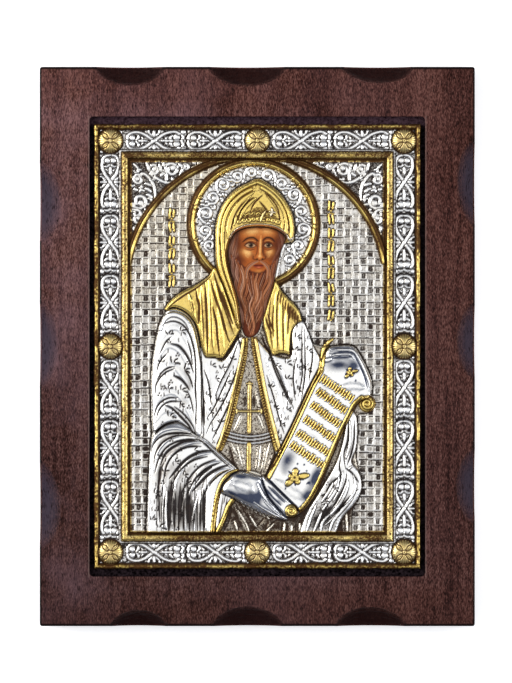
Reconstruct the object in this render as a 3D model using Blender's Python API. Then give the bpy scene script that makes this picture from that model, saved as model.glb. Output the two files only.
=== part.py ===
"""Icon in an embossed silver cover, set in a recess of a dark carved wooden board.

The icon lies on its back: +Z is out of its front, +Y is its top and +X its right-hand side.
The origin is the centre of the board's back face. Lengths in MM tables are millimetres.
"""

import math

import bmesh
import bpy
from mathutils import Vector

MM = 0.001

# The board.
BOARD_WIDTH = 0.210
BOARD_HEIGHT = 0.270
BOARD_THICKNESS = 0.020
BOARD_EDGE = 0.0012
RECESS_WIDTH = 0.162
RECESS_HEIGHT = 0.222
RECESS_DEPTH = 0.004
RECESS_CORNER = 0.002
EDGE_SEGMENTS = 2
CORNER_STEPS = 3
ABOVE = 0.01  # how far a cutting tool stands out of the surface it cuts

# The gouged hollows. Each is part of an ellipsoid that starts beyond the board's edge.
SCALLOP_DROP = 0.011
SCALLOP_REACH, SCALLOP_DEEP, SCALLOP_BEYOND = 1.7, 1.5, 0.35
SCALLOP_AROUND, SCALLOP_LEVELS = 16, 8

# The silver cover, which lies on the recess floor with a small gap.
GAP = 0.0003
COVER_WIDTH = 0.158
COVER_HEIGHT = 0.215
COVER_CORNER = 0.001
SHEET_THICKNESS = 0.0012
FLOOR_Z = BOARD_THICKNESS - RECESS_DEPTH
COVER_Z = FLOOR_Z + GAP
GROUND_Z = COVER_Z + SHEET_THICKNESS
ROOT_Z = COVER_Z + SHEET_THICKNESS / 2

# Mouldings, measured from the cover's centre to their middle lines, and their sizes.
ROPE_X, ROPE_Y = 0.0777, 0.1062
ROPE_HALF, ROPE_TOP = 0.0012, 0.0194
INNER_X, INNER_Y = 0.0636, 0.0920
INNER_HALF, INNER_TOP = 0.0017, 0.0197
BAND_X, BAND_Y = 0.07085, 0.09935
BOSS_RADIUS, BOSS_TOP = 0.0060, 0.0207
BOSS_AROUND, BOSS_PETALS, BOSS_PETAL_RISE = 16, 4, 0.12
BOSS_LEVELS = ((1, 0.0), (0.76, 0.76), (0.30, 1.0))  # share of the radius, share of the rise
SHOULDER = 0.45  # share of a moulding's rise at which its round back begins

# The two strands of the border, which part and cross to make hearts.
STRAND_SWING, STRAND_WIDTH = 0.0043, 0.0022
STRAND_RISE, STRAND_RISE_UNDER = 0.0012, 0.0010
STRAND_STEPS, STRAND_FULLNESS = 5, 0.7
STRAND_TUCK = 0.0003  # how far a strand runs under a boss
UPRIGHT_UNITS, LEVEL_UNITS = 3, 2

# The arch and the halo: centres in millimetres, radii in metres, ends of the arch in degrees.
ARCH_CENTRE, ARCH_RADIUS = (-0.4, 29.4), 0.0630
ARCH_HALF, ARCH_TOP, ARCH_ENDS, ARCH_STEPS = 0.0016, 0.0192, (9.5, 170.5), 20
HALO_CENTRE, HALO_RADIUS = (-1.8, 59.1), 0.0300
HALO_HALF, HALO_TOP, HALO_STEPS, HALO_FIELD_RISE = 0.0018, 0.0196, 28, 0.0006

# Each scallop: side, middle along the side, half its length, depth inward, lean of its hollow.
SCALLOPS = [
    ("top", -61.6, 17.8, 9.7, -2),
    ("top", -5.0, 19.8, 10.1, -2),
    ("top", 57.0, 18.6, 8.2, -7),
    ("bottom", -57.0, 14.5, 8.2, -2),
    ("bottom", -4.4, 18.2, 10.0, -1),
    ("bottom", 55.1, 18.1, 9.6, -4),
    ("left", 70.2, 21.2, 11.5, 5),
    ("left", 1.1, 22.1, 9.9, 1),
    ("left", -75.5, 22.7, 10.7, 6),
    ("right", 78.2, 21.8, 9.0, 3),
    ("right", 2.7, 19.3, 9.2, -1),
    ("right", -67.0, 19.2, 9.4, -2),
]

# Embossed forms in millimetres: outline, ridge line inside it, height above the ground.
FORMS = {
    "body": (
        [(0, 60), (8, 31), (20, 20), (26, 4), (34, 1), (47, 0), (55, -17), (54, -31), (48, -34),
         (47.5, -53), (50.3, -66), (46, -78), (45.5, -89.2), (45.5, -89.2), (-53.2, -89.2),
         (-53.2, -89.2), (-52.6, -62), (-50.6, -38), (-50.4, -12), (-48, 8), (-44.6, 18),
         (-30, 30), (-19, 42)],
        [(-2, 40), (-2, -60)], 1.3,
    ),
    "left_robe": (
        [(-27, -2), (-17, -7), (-9, 4), (-6, 2), (-9, -12), (-13, -30), (-19.5, -50), (-27, -44)],
        [(-15, -14), (-22, -36)], 2.4,
    ),
    "right_robe": (
        [(-1.5, 4), (6, -3), (16, -5), (17, 8), (21.5, 12.3), (24.5, 7), (27, 0), (31, -8),
         (24, -25), (14, -46), (9.5, -52), (4.8, -30), (1, -12)],
        [(19, -4), (11, -34)], 2.5,
    ),
    "cape_left": (
        [(-21, 37), (-30, 30.3), (-38, 24.3), (-44.5, 18.4), (-38, 17.4), (-32.3, 12.4),
         (-28.6, 3), (-25.2, -5.6), (-17.3, -5.8), (-12.6, -0.5), (-8.4, 9), (-9, 20), (-14, 30)],
        [(-27, 22), (-18, 6)], 3.6,
    ),
    "cape_right": (
        [(8.2, 30.3), (13.8, 26.6), (18.8, 20.4), (22, 12.8), (18.3, 7.4), (16.6, 0), (15.6, -4.6),
         (7, -4.6), (4.6, 4), (3.4, 12), (6, 21)],
        [(12, 20), (10.5, 2)], 3.3,
    ),
    "upper_sleeve": (
        [(-44, 17.6), (-37.4, 16.8), (-32.2, 12.2), (-28.8, 4), (-26.8, -8), (-26.2, -24),
         (-26.4, -44), (-32, -44.5), (-42, -42), (-50.2, -41), (-50.4, -20), (-49.3, 2), (-47, 11)],
        [(-40, 4), (-39, -30)], 4.0,
    ),
    "lower_sleeve": (
        [(-50.4, -43), (-44, -38.4), (-36, -39), (-29, -43), (-19.6, -49.4), (-9.4, -59.6),
         (-14.8, -63.6), (-18.6, -70), (-21.6, -89), (-21.6, -89), (-53, -89), (-53, -89),
         (-52.4, -60)],
        [(-38, -54), (-38, -76)], 3.5,
    ),
    "right_sleeve": (
        [(43, -31), (48.2, -32), (48.2, -45), (46.6, -54), (50, -60.5), (50.2, -67), (46.6, -76),
         (37, -85.6), (27.5, -84), (31, -70), (39, -52), (42, -42)],
        [(45, -48), (41, -70)], 2.8,
    ),
    "hood": (
        [(0.3, 81.2), (8, 77.6), (14, 70.6), (17.5, 62.4), (17.4, 53), (9, 49), (-4, 46),
         (-14, 42), (-20, 45), (-20.1, 57), (-17.2, 67.4), (-10, 76.4)],
        [(-1.5, 66), (-3, 54)], 4.8,
    ),
    "lappet": (
        [(-20, 50), (-14.8, 50), (-13.8, 38), (-10.4, 26), (-8.2, 16), (-9.4, 9.6), (-13.6, 20),
         (-18.2, 32)],
        [(-17.2, 44), (-11, 18)], 4.3,
    ),
    "scroll": (
        [(35, -1), (46, -1), (51, -7), (55, -16.5), (54.5, -24), (50, -26), (45.6, -31), (40.6, -43),
         (34, -60), (29, -71), (22, -79.4), (13, -79.4), (4.6, -64.6), (14, -46.4), (27, -18.4),
         (31.2, -8)],
        [(41, -14), (17, -66)], 3.9,
    ),
    "hand": (
        [(-17.6, -68.4), (-13, -62.6), (-6.6, -60.4), (1, -62), (7, -67), (13.6, -73), (19.6, -78.6),
         (17, -83.6), (8, -82.4), (-2, -78.6), (-10, -74.6)],
        [(-8, -68.4), (8, -76)], 5.0,
    ),
}

# Ridges laid on the forms, in millimetres: points, width, rise, and whether the ends run out.
RIDGES = [
    ([(-6, 3), (-8.8, -12), (-12.8, -30), (-19, -50)], 2.8, 0.7, False),
    ([(-1.8, 3), (0.9, -12), (5, -30), (11, -52)], 2.8, 0.7, False),
    ([(-9.8, -59.4), (-14.6, -63.6), (-18.4, -70), (-20.6, -78), (-21.8, -89)], 2.0, 0.7, False),
    ([(-12, -74.5), (-14.4, -80.5), (-18.6, -89)], 1.9, 0.9, False),
    ([(31, -10), (27, -18.2), (20.4, -33), (14, -47), (4.6, -64.4)], 2.0, 0.7, False),
    ([(52, -24), (47, -29), (40.8, -43), (34, -60), (27.4, -74), (17, -81.6)], 2.0, 0.7, False),
    ([(36.2, 3.4), (32.8, 0.4), (31.2, -6), (29, -14)], 2.2, 1.0, True),
    ([(-31, 13), (-28.7, 2), (-28.4, -14), (-28.2, -40)], 2.6, 0.5, True),
    ([(-49, -30), (-44, -23.6), (-36.5, -24.2)], 2.0, 0.6, True),
    ([(-46, -3), (-42, 2.4), (-35.6, -1.6), (-31.6, -12)], 2.0, 0.7, True),
    ([(-49.6, -46), (-45, -40.4), (-39, -38.4), (-32.6, -41.4)], 2.2, 0.6, True),
    ([(-50.6, -60), (-46, -51), (-37.6, -45), (-27, -46)], 2.2, 0.7, True),
    ([(-45.6, -67), (-41, -56.6), (-32, -50.4), (-22, -51)], 2.4, 0.7, True),
    ([(-37.6, -70), (-32.6, -61.6), (-25, -56), (-16, -55.6)], 2.2, 0.7, True),
    ([(-29, -72), (-24, -64), (-17.6, -59)], 2.0, 0.7, True),
    ([(-33.4, -72), (-34, -81), (-33.4, -89)], 2.2, 0.7, True),
    ([(-22, 35), (-24, 22), (-24.6, 8), (-23.6, -4)], 2.0, 0.6, True),
    ([(-20, 36), (-19.6, 24), (-17, 10), (-14.6, 1)], 2.0, 0.6, True),
    ([(12, 26), (10, 12), (9.6, -3)], 1.8, 0.6, True),
    ([(-16.4, 58), (-13, 68), (-5, 74.6), (3, 75)], 2.0, 0.6, True),
    ([(-12, -2), (-16, -18), (-22.6, -36)], 2.0, 0.6, True),
    ([(4, -4), (8, -16), (15, -30)], 2.0, 0.6, True),
    ([(45.6, -34), (45.4, -44), (43.6, -56)], 1.8, 0.6, True),
    ([(-4, -17), (-4, -40)], 1.8, 0.9, False),
    ([(-10.2, -31.4), (2.2, -31.4)], 1.8, 1.0, False),
    ([(-14.6, -42.4), (-4, -44.4), (6, -42)], 3.2, 0.7, False),
    ([(-4, -48), (-4, -59)], 1.9, 0.9, False),
    ([(24, -89), (24, -82)], 1.8, 0.8, True),
    ([(42, -89), (42, -81)], 2.0, 0.8, True),
]
RIDGE_STEPS = 2
RIDGE_SEAT = 0.0002  # how far the foot of a ridge sinks into the form under it
RIDGE_DIP = 0.0004  # how far an end that runs out sinks
RIDGE_END = 0.35  # share of its width that such an end keeps
# How a form swells: share of the way from its outline to its ridge line, share of its rise.
SWELLING = ((0, 0.45), (0.22, 0.82), (0.62, 1))

# The rolled ends of the scroll: centre, radius, rise in millimetres, and their section.
CURLS = [((53, -28), 4.0, 4.3), ((16.5, -79), 3.2, 4.3)]
CURL_SECTION, CURL_STEPS = ((1, 0.72), (0.72, 1), (0.4, 0.82)), 10

# The foliage scrolls beside the arch: centre, radius in millimetres, and their way round.
VOLUTES = [((-56.6, 81), 3.3, 1), ((-56.6, 70.6), 4.2, -1), ((-50.6, 84.6), 2.9, -1),
           ((-42, 85.4), 3.9, 1)]
VOLUTE_STEPS, VOLUTE_START, VOLUTE_TURN, VOLUTE_SHRINK = 10, 0.6, 0.8, 13
VOLUTE_HALF, VOLUTE_RISE = 0.0009, 0.0011

# The opening round the painted face and beard, and the painting that fills it.
FACE_OUTLINE = [(-9.6, 55.4), (-4, 57.4), (4, 57.5), (9.6, 56), (13.6, 52.4), (11.6, 46), (9.6, 38),
                (8, 30), (5.4, 22), (3, 14), (0.6, 7), (-3.4, 4.2), (-6.6, 6), (-8.2, 13),
                (-9.4, 22), (-12.0, 32), (-13.8, 41), (-14.2, 47), (-12.6, 52)]
OPENING_STEPS = 2
PAINT_EDGE_Z = 0.0187
PAINT_RISE = 0.0005
PAINT_DOME = ((0.0010, 0.5), (0.0018, 0.3), (0.0026, 0.2))  # inset, share of the rise


def smooth_line(points, steps, closed):
    """A smooth line through the points; a point given twice makes a corner."""
    count = len(points)
    last = count if closed else count - 1
    line = []
    for i in range(last):
        near = [points[(i + k) % count] if closed else points[min(max(i + k, 0), last)]
                for k in (-1, 0, 1, 2)]
        a, b, c, d = [Vector(p) for p in near]
        if b == c:
            continue
        for step in range(steps):
            t = step / steps
            bend = (c - a) * t + (2 * a - 5 * b + 4 * c - d) * t * t
            line.append(b + 0.5 * (bend + (3 * b - a - 3 * c + d) * t ** 3))
    if not closed:
        line.append(Vector(points[-1]))
    kept = []
    for p in line:
        if not kept or (p - kept[-1]).length > 1e-6:
            kept.append(p)
    return kept


def in_metres(points):
    return [Vector((x * MM, y * MM)) for x, y in points]


def make_object(name, bm):
    bmesh.ops.recalc_face_normals(bm, faces=bm.faces)
    mesh = bpy.data.meshes.new(name)
    bm.to_mesh(mesh)
    bm.free()
    made = bpy.data.objects.new(name, mesh)
    bpy.context.scene.collection.objects.link(made)
    return made


def fill_rings(bm, rings, closed_ends=True):
    """Joins rings of equally many points into a skin, and closes its two ends."""
    loops = [[bm.verts.new(p) for p in ring] for ring in rings]
    count = len(loops[0])
    for near, far in zip(loops, loops[1:]):
        for i in range(count):
            j = (i + 1) % count
            bm.faces.new((near[i], near[j], far[j], far[i]))
    if closed_ends:
        bm.faces.new(loops[0][::-1])
        bm.faces.new(loops[-1])
    else:
        for i in range(count):
            j = (i + 1) % count
            bm.faces.new((loops[-1][i], loops[-1][j], loops[0][j], loops[0][i]))
    bmesh.ops.triangulate(bm, faces=bm.faces)


def gather(name, forms):
    """Puts overlapping closed forms in one object, for a Boolean to join."""
    bm = bmesh.new()
    for form in forms:
        bm.from_mesh(form.data)
        bpy.data.objects.remove(form)
    mesh = bpy.data.meshes.new(name)
    bm.to_mesh(mesh)
    bm.free()
    made = bpy.data.objects.new(name, mesh)
    bpy.context.scene.collection.objects.link(made)
    return made


def combine(body, tool, operation):
    """Joins the tool to the body, or cuts it away, and removes the tool."""
    change = body.modifiers.new(operation.lower(), "BOOLEAN")
    change.operation = operation
    change.solver = "EXACT"
    change.use_self = True
    change.object = tool
    with bpy.context.temp_override(object=body, active_object=body, selected_objects=[body]):
        bpy.ops.object.modifier_apply(modifier=change.name)
    bpy.data.objects.remove(tool)


def prism(name, outline, low, high):
    bm = bmesh.new()
    fill_rings(bm, [[(p.x, p.y, z) for p in outline] for z in (low, high)])
    return make_object(name, bm)


def box_outline(width, height, corner):
    """A rectangle round the origin with small rounded corners."""
    outline = []
    for quarter, (sx, sy) in enumerate(((1, 1), (-1, 1), (-1, -1), (1, -1))):
        for step in range(CORNER_STEPS + 1):
            angle = math.radians(90 * (quarter + step / CORNER_STEPS))
            outline.append(Vector((sx * (width / 2 - corner) + corner * math.cos(angle),
                                   sy * (height / 2 - corner) + corner * math.sin(angle))))
    return outline


def nearest_on(a, b, p):
    along = b - a
    share = max(0, min(1, (p - a).dot(along) / along.length_squared))
    return a + along * share


def swelling(name, outline_mm, spine_mm, rise_mm):
    """A rounded form: steep at its outline, then swelling to the ridge line inside it."""
    outline = smooth_line(in_metres(outline_mm), 2, True)
    start, end = in_metres(spine_mm)
    rings = [[(p.x, p.y, ROOT_Z) for p in outline]]
    for share, lift in SWELLING:
        z = GROUND_Z + rise_mm * MM * lift
        ring = [p.lerp(nearest_on(start, end, p), share) for p in outline]
        rings.append([(p.x, p.y, z) for p in ring])
    bm = bmesh.new()
    fill_rings(bm, rings)
    return make_object(name, bm)


def sweep(name, path, profile, closed, ends_run_out=False):
    """Carries a profile of (sideways, height) points along a path of (x, y, height) points."""
    count = len(path)
    rings = []
    for i, point in enumerate(path):
        before = path[(i - 1) % count] if closed or i else point
        after = path[(i + 1) % count] if closed or i < count - 1 else point
        ins = (Vector(point[:2]) - Vector(before[:2])).normalized()
        outs = (Vector(after[:2]) - Vector(point[:2])).normalized()
        ins = ins if ins.length else outs
        outs = outs if outs.length else ins
        mean = (ins + outs).normalized()
        side = Vector((-mean.y, mean.x)) / max(0.4, mean.dot(ins))
        thin = RIDGE_END if ends_run_out and i in (0, count - 1) else 1
        lift = point[2] if len(point) > 2 else 0
        ring = []
        for across, z, rides in profile:
            height = z + lift if rides else z
            ring.append((point[0] + side.x * across * thin, point[1] + side.y * across * thin,
                         height))
        rings.append(ring)
    bm = bmesh.new()
    fill_rings(bm, rings, closed_ends=not closed)
    return make_object(name, bm)


def moulding(name, path, half, top, closed=True):
    """A half-round moulding standing on the ground."""
    shoulder = GROUND_Z + (top - GROUND_Z) * SHOULDER
    profile = [(-half, ROOT_Z, False), (-half, shoulder, False), (0, top, False),
               (half, shoulder, False), (half, ROOT_Z, False)]
    return sweep(name, path, profile, closed)


def arc(centre_mm, radius, start, end, steps):
    centre = Vector(centre_mm) * MM
    turn = [math.radians(start + (end - start) * i / steps) for i in range(steps + 1)]
    return [centre + radius * Vector((math.cos(a), math.sin(a))) for a in turn]


def surface_height(relief, point):
    """The height of the relief at a point, looking straight down on it."""
    hit, place, _, _ = relief.ray_cast(Vector((point.x, point.y, BOARD_THICKNESS + ABOVE)),
                                       Vector((0, 0, -1)))
    return place.z if hit else GROUND_Z


def laid_ridge(relief, name, points_mm, width_mm, rise_mm, runs_out):
    """A ridge that follows the surface under it."""
    line = smooth_line(in_metres(points_mm), RIDGE_STEPS, False)
    count = len(line)
    path = []
    for i, p in enumerate(line):
        sunk = RIDGE_DIP if runs_out and i in (0, count - 1) else 0
        path.append((p.x, p.y, surface_height(relief, p) - sunk))
    half, rise = width_mm * MM / 2, rise_mm * MM
    profile = [(-half, ROOT_Z, False), (-half, -RIDGE_SEAT, True), (0, rise, True),
               (half, -RIDGE_SEAT, True), (half, ROOT_Z, False)]
    return sweep(name, path, profile, False, runs_out)


def rosette(name, x, y):
    """A domed boss whose edge swells in four broad petals and four narrow ones."""
    rings = []
    for k, (reach, lift) in enumerate(BOSS_LEVELS):
        ring = []
        for i in range(BOSS_AROUND):
            turn = 2 * math.pi * i / BOSS_AROUND
            petal = BOSS_PETAL_RISE * math.cos(BOSS_PETALS * turn) if k == 1 else 0
            z = ROOT_Z if k == 0 else GROUND_Z + (BOSS_TOP - GROUND_Z) * (lift + petal)
            ring.append((x + BOSS_RADIUS * reach * math.cos(turn),
                         y + BOSS_RADIUS * reach * math.sin(turn), z))
        rings.append(ring)
    bm = bmesh.new()
    fill_rings(bm, rings)
    return make_object(name, bm)


def strand(name, start, end, units, sign):
    """One of the two strands that cross and part along a border run to make its hearts."""
    steps = STRAND_STEPS * units
    along = end - start
    side = Vector((-along.y, along.x)).normalized()
    path = []
    for i in range(steps + 1):
        t = i / steps * units % 1 if i < steps else 1
        towards_crossing = 1 - abs(2 * t - 1)
        swing = math.sin(math.pi * min(1, max(0, towards_crossing)) ** STRAND_FULLNESS)
        way = sign if t < 0.5 else -sign
        path.append(start + along * i / steps + side * way * STRAND_SWING * swing)
    half = STRAND_WIDTH / 2
    crest = GROUND_Z + (STRAND_RISE if sign > 0 else STRAND_RISE_UNDER)
    profile = [(-half, ROOT_Z, False), (0, crest, False), (half, ROOT_Z, False)]
    return sweep(name, path, profile, False)


def volute(name, centre_mm, radius_mm, way, mirrored):
    """A scroll of foliage: a strip that winds in to its eye."""
    path = []
    for i in range(VOLUTE_STEPS):
        turn = way * (VOLUTE_START + i * VOLUTE_TURN)
        reach = radius_mm * (1 - i / VOLUTE_SHRINK)
        x = centre_mm[0] + reach * math.cos(turn)
        path.append(((-x if mirrored else x) * MM, (centre_mm[1] + reach * math.sin(turn)) * MM))
    profile = [(-VOLUTE_HALF, ROOT_Z, False), (0, GROUND_Z + VOLUTE_RISE, False),
               (VOLUTE_HALF, ROOT_Z, False)]
    return sweep(name, path, profile, False)


def curl(name, centre_mm, radius_mm, rise_mm):
    """The rolled-up end of the scroll."""
    ring_at = arc(centre_mm, radius_mm * MM, 0, 360 - 360 / (CURL_STEPS + 1), CURL_STEPS)
    centre = Vector(centre_mm) * MM
    rings = [[(p.x, p.y, ROOT_Z) for p in ring_at]]
    for share, lift in CURL_SECTION:
        z = GROUND_Z + rise_mm * MM * lift
        rings.append([tuple(centre + (p - centre) * share) + (z,) for p in ring_at])
    bm = bmesh.new()
    fill_rings(bm, rings)
    return make_object(name, bm)


def give_material(piece, name, colour, roughness, metallic):
    material = bpy.data.materials.new(name)
    material.use_nodes = True
    shader = material.node_tree.nodes["Principled BSDF"]
    shader.inputs["Base Color"].default_value = (*colour, 1)
    shader.inputs["Roughness"].default_value = roughness
    shader.inputs["Metallic"].default_value = metallic
    piece.data.materials.clear()
    piece.data.materials.append(material)


def make_board():
    """The board: square edges just broken, a recess in front, and gouged scallops on its rim."""
    bm = bmesh.new()
    bmesh.ops.create_cube(bm, size=1)
    bmesh.ops.scale(bm, vec=(BOARD_WIDTH, BOARD_HEIGHT, BOARD_THICKNESS), verts=bm.verts)
    bmesh.ops.translate(bm, vec=(0, 0, BOARD_THICKNESS / 2), verts=bm.verts)
    bmesh.ops.bevel(bm, geom=bm.edges[:], offset=BOARD_EDGE, segments=EDGE_SEGMENTS,
                    profile=0.5, affect="EDGES", material=-1)
    board = make_object("wooden_board", bm)
    recess = box_outline(RECESS_WIDTH, RECESS_HEIGHT, RECESS_CORNER)
    combine(board, prism("recess", recess, FLOOR_Z, BOARD_THICKNESS + ABOVE), "DIFFERENCE")
    for side, middle, half, depth, lean in SCALLOPS:
        combine(board, scallop(side, middle * MM, half * MM, depth * MM, lean), "DIFFERENCE")
    return board


def scallop(side, middle, half, depth, lean):
    """The hollow of one gouge stroke: an ellipsoid beyond the front edge of a side.

    In the plane of the board's front it cuts in by depth over a length of twice half.
    On the side it reaches down by SCALLOP_DROP.
    """
    reach, drop, beyond = depth * SCALLOP_REACH, SCALLOP_DROP * SCALLOP_DEEP, depth * SCALLOP_BEYOND
    above = drop * math.sqrt(max(0.01, 1 - ((depth + beyond) / reach) ** 2))
    long_half = half / math.sqrt(1 - (beyond / reach) ** 2 - (above / drop) ** 2)
    bm = bmesh.new()
    bmesh.ops.create_uvsphere(bm, u_segments=SCALLOP_AROUND, v_segments=SCALLOP_LEVELS,
                              radius=1)
    bmesh.ops.scale(bm, vec=(long_half, reach, drop), verts=bm.verts)
    cutter = make_object("scallop", bm)
    turn = {"top": 0, "bottom": 180, "left": 90, "right": -90}[side]
    out = {"top": (0, 1), "bottom": (0, -1), "left": (-1, 0), "right": (1, 0)}[side]
    edge = BOARD_WIDTH / 2 if side in ("left", "right") else BOARD_HEIGHT / 2
    place = Vector(out) * (edge + beyond)
    along = Vector((0, middle)) if side in ("left", "right") else Vector((middle, 0))
    cutter.location = (place.x + along.x, place.y + along.y, BOARD_THICKNESS + above)
    cutter.rotation_euler = (0, 0, math.radians(turn + lean))
    bpy.context.view_layer.update()
    return cutter


def make_cover():
    """The cover: a plate with its mouldings, border, arch, halo and figure raised on it."""
    cover = prism("silver_cover", box_outline(COVER_WIDTH, COVER_HEIGHT, COVER_CORNER),
                  COVER_Z, GROUND_Z)
    raised = []
    for x, y, half, top in ((ROPE_X, ROPE_Y, ROPE_HALF, ROPE_TOP),
                            (INNER_X, INNER_Y, INNER_HALF, INNER_TOP)):
        corners = [Vector(c) for c in ((x, y), (-x, y), (-x, -y), (x, -y))]
        raised.append(moulding("moulding", corners, half, top))
    run = BOSS_RADIUS - STRAND_TUCK
    for sign in (-1, 1):
        for way in (-1, 1):
            for part in (-1, 1):
                x = sign * BAND_X
                raised.append(strand("strand", Vector((x, part * run)),
                                     Vector((x, part * (BAND_Y - run))),
                                     UPRIGHT_UNITS, way))
                y = sign * BAND_Y
                raised.append(strand("strand", Vector((part * run, y)),
                                     Vector((part * (BAND_X - run), y)),
                                     LEVEL_UNITS, way))
    for x, y in ((-1, -1), (-1, 0), (-1, 1), (0, -1), (0, 1), (1, -1), (1, 0), (1, 1)):
        raised.append(rosette("boss", x * BAND_X, y * BAND_Y))
    arch = arc(ARCH_CENTRE, ARCH_RADIUS, *ARCH_ENDS, ARCH_STEPS)
    raised.append(moulding("arch", arch, ARCH_HALF, ARCH_TOP, closed=False))
    for centre, radius, way in VOLUTES:
        raised.append(volute("volute", centre, radius, way, False))
        raised.append(volute("volute", centre, radius, way, True))
    halo = arc(HALO_CENTRE, HALO_RADIUS, 0, 360 - 360 / (HALO_STEPS + 1), HALO_STEPS)
    raised.append(prism("halo_field", halo, ROOT_Z, GROUND_Z + HALO_FIELD_RISE))
    raised.append(moulding("halo_ring", halo, HALO_HALF, HALO_TOP))
    for name, (outline, spine, rise) in FORMS.items():
        raised.append(swelling(name, outline, spine, rise))
    for centre, radius, rise in CURLS:
        raised.append(curl("curl", centre, radius, rise))
    relief = gather("relief", raised)
    ridges = [laid_ridge(relief, "ridge", *ridge) for ridge in RIDGES]
    combine(cover, gather("relief", [relief] + ridges), "UNION")
    opening = smooth_line(in_metres(FACE_OUTLINE), OPENING_STEPS, True)
    combine(cover, prism("opening", opening, 0, BOARD_THICKNESS + ABOVE), "DIFFERENCE")
    return cover


def make_face():
    """The painted face and beard: a gently domed panel in the cover's opening."""
    bm = bmesh.new()
    outline = smooth_line(in_metres(FACE_OUTLINE), OPENING_STEPS, True)
    loop = [bm.verts.new((p.x, p.y, COVER_Z)) for p in outline]
    floor = bm.faces.new(loop)
    bmesh.ops.inset_region(bm, faces=[floor], thickness=GAP, use_even_offset=True)
    bmesh.ops.delete(bm, geom=[f for f in bm.faces if f is not floor], context="FACES")
    raised = bmesh.ops.extrude_face_region(bm, geom=[floor])["geom"]
    lid = [f for f in raised if isinstance(f, bmesh.types.BMFace)][0]
    bmesh.ops.translate(bm, vec=(0, 0, PAINT_EDGE_Z - COVER_Z), verts=lid.verts)
    for thickness, rise in PAINT_DOME:
        bmesh.ops.inset_region(bm, faces=[lid], thickness=thickness, use_even_offset=True)
        bmesh.ops.translate(bm, vec=(0, 0, PAINT_RISE * rise), verts=lid.verts)
    bmesh.ops.triangulate(bm, faces=bm.faces)
    return make_object("painted_face", bm)


for old in list(bpy.data.objects):
    bpy.data.objects.remove(old)

give_material(make_board(), "wood", (0.075, 0.030, 0.028), 0.45, 0)
give_material(make_cover(), "silver", (0.86, 0.84, 0.82), 0.28, 1)
give_material(make_face(), "paint", (0.45, 0.17, 0.07), 0.5, 0)
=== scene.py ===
import math

import bmesh
import bpy
import numpy as np
from mathutils import Matrix, Vector


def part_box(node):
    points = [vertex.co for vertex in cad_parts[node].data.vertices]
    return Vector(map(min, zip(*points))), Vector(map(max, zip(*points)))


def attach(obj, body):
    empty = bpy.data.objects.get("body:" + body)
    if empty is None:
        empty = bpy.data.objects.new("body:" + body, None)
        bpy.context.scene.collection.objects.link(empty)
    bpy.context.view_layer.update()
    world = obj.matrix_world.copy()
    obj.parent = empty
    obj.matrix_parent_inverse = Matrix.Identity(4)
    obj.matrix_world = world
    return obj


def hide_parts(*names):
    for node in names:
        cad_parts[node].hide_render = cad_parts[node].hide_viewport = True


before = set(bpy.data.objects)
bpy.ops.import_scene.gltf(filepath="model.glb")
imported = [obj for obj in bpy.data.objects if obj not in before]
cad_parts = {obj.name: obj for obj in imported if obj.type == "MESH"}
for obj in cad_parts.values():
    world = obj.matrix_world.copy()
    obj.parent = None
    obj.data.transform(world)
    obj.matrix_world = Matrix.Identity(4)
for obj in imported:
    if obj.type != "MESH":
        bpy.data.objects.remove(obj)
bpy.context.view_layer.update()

boardLow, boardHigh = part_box("wooden_board")
coverLow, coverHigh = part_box("silver_cover")
mm = 0.001
groundZ = coverLow.z + 1.2 * mm  # the flat of the sheet, between its ornaments
print("frame loaded, cover", [round(v / mm, 2) for v in coverHigh - coverLow])

stage = dict(
    lens=200, sensor=36, aim=(-0.63, 2.41), viewHeight=329.5, near=0.01, far=40,
    floorSize=8, floorTint=0.92, floorGlow=0.5,
    sky=((0, (0.1, 0.11, 0.14)), (0.55, (0.12, 0.13, 0.17)), (0.8, (0.29, 0.31, 0.36)),
         (0.93, (0.88, 0.89, 0.91)), (1, (1.12, 1.12, 1.12))),
    lamps=(("left softbox", (-1.05, 0.3, 0.8), 1.1, 15, (1, 0.99, 0.97)),
           ("right softbox", (1.05, 0, 0.8), 1.1, 7.5, (0.95, 0.97, 1))),
)


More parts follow.
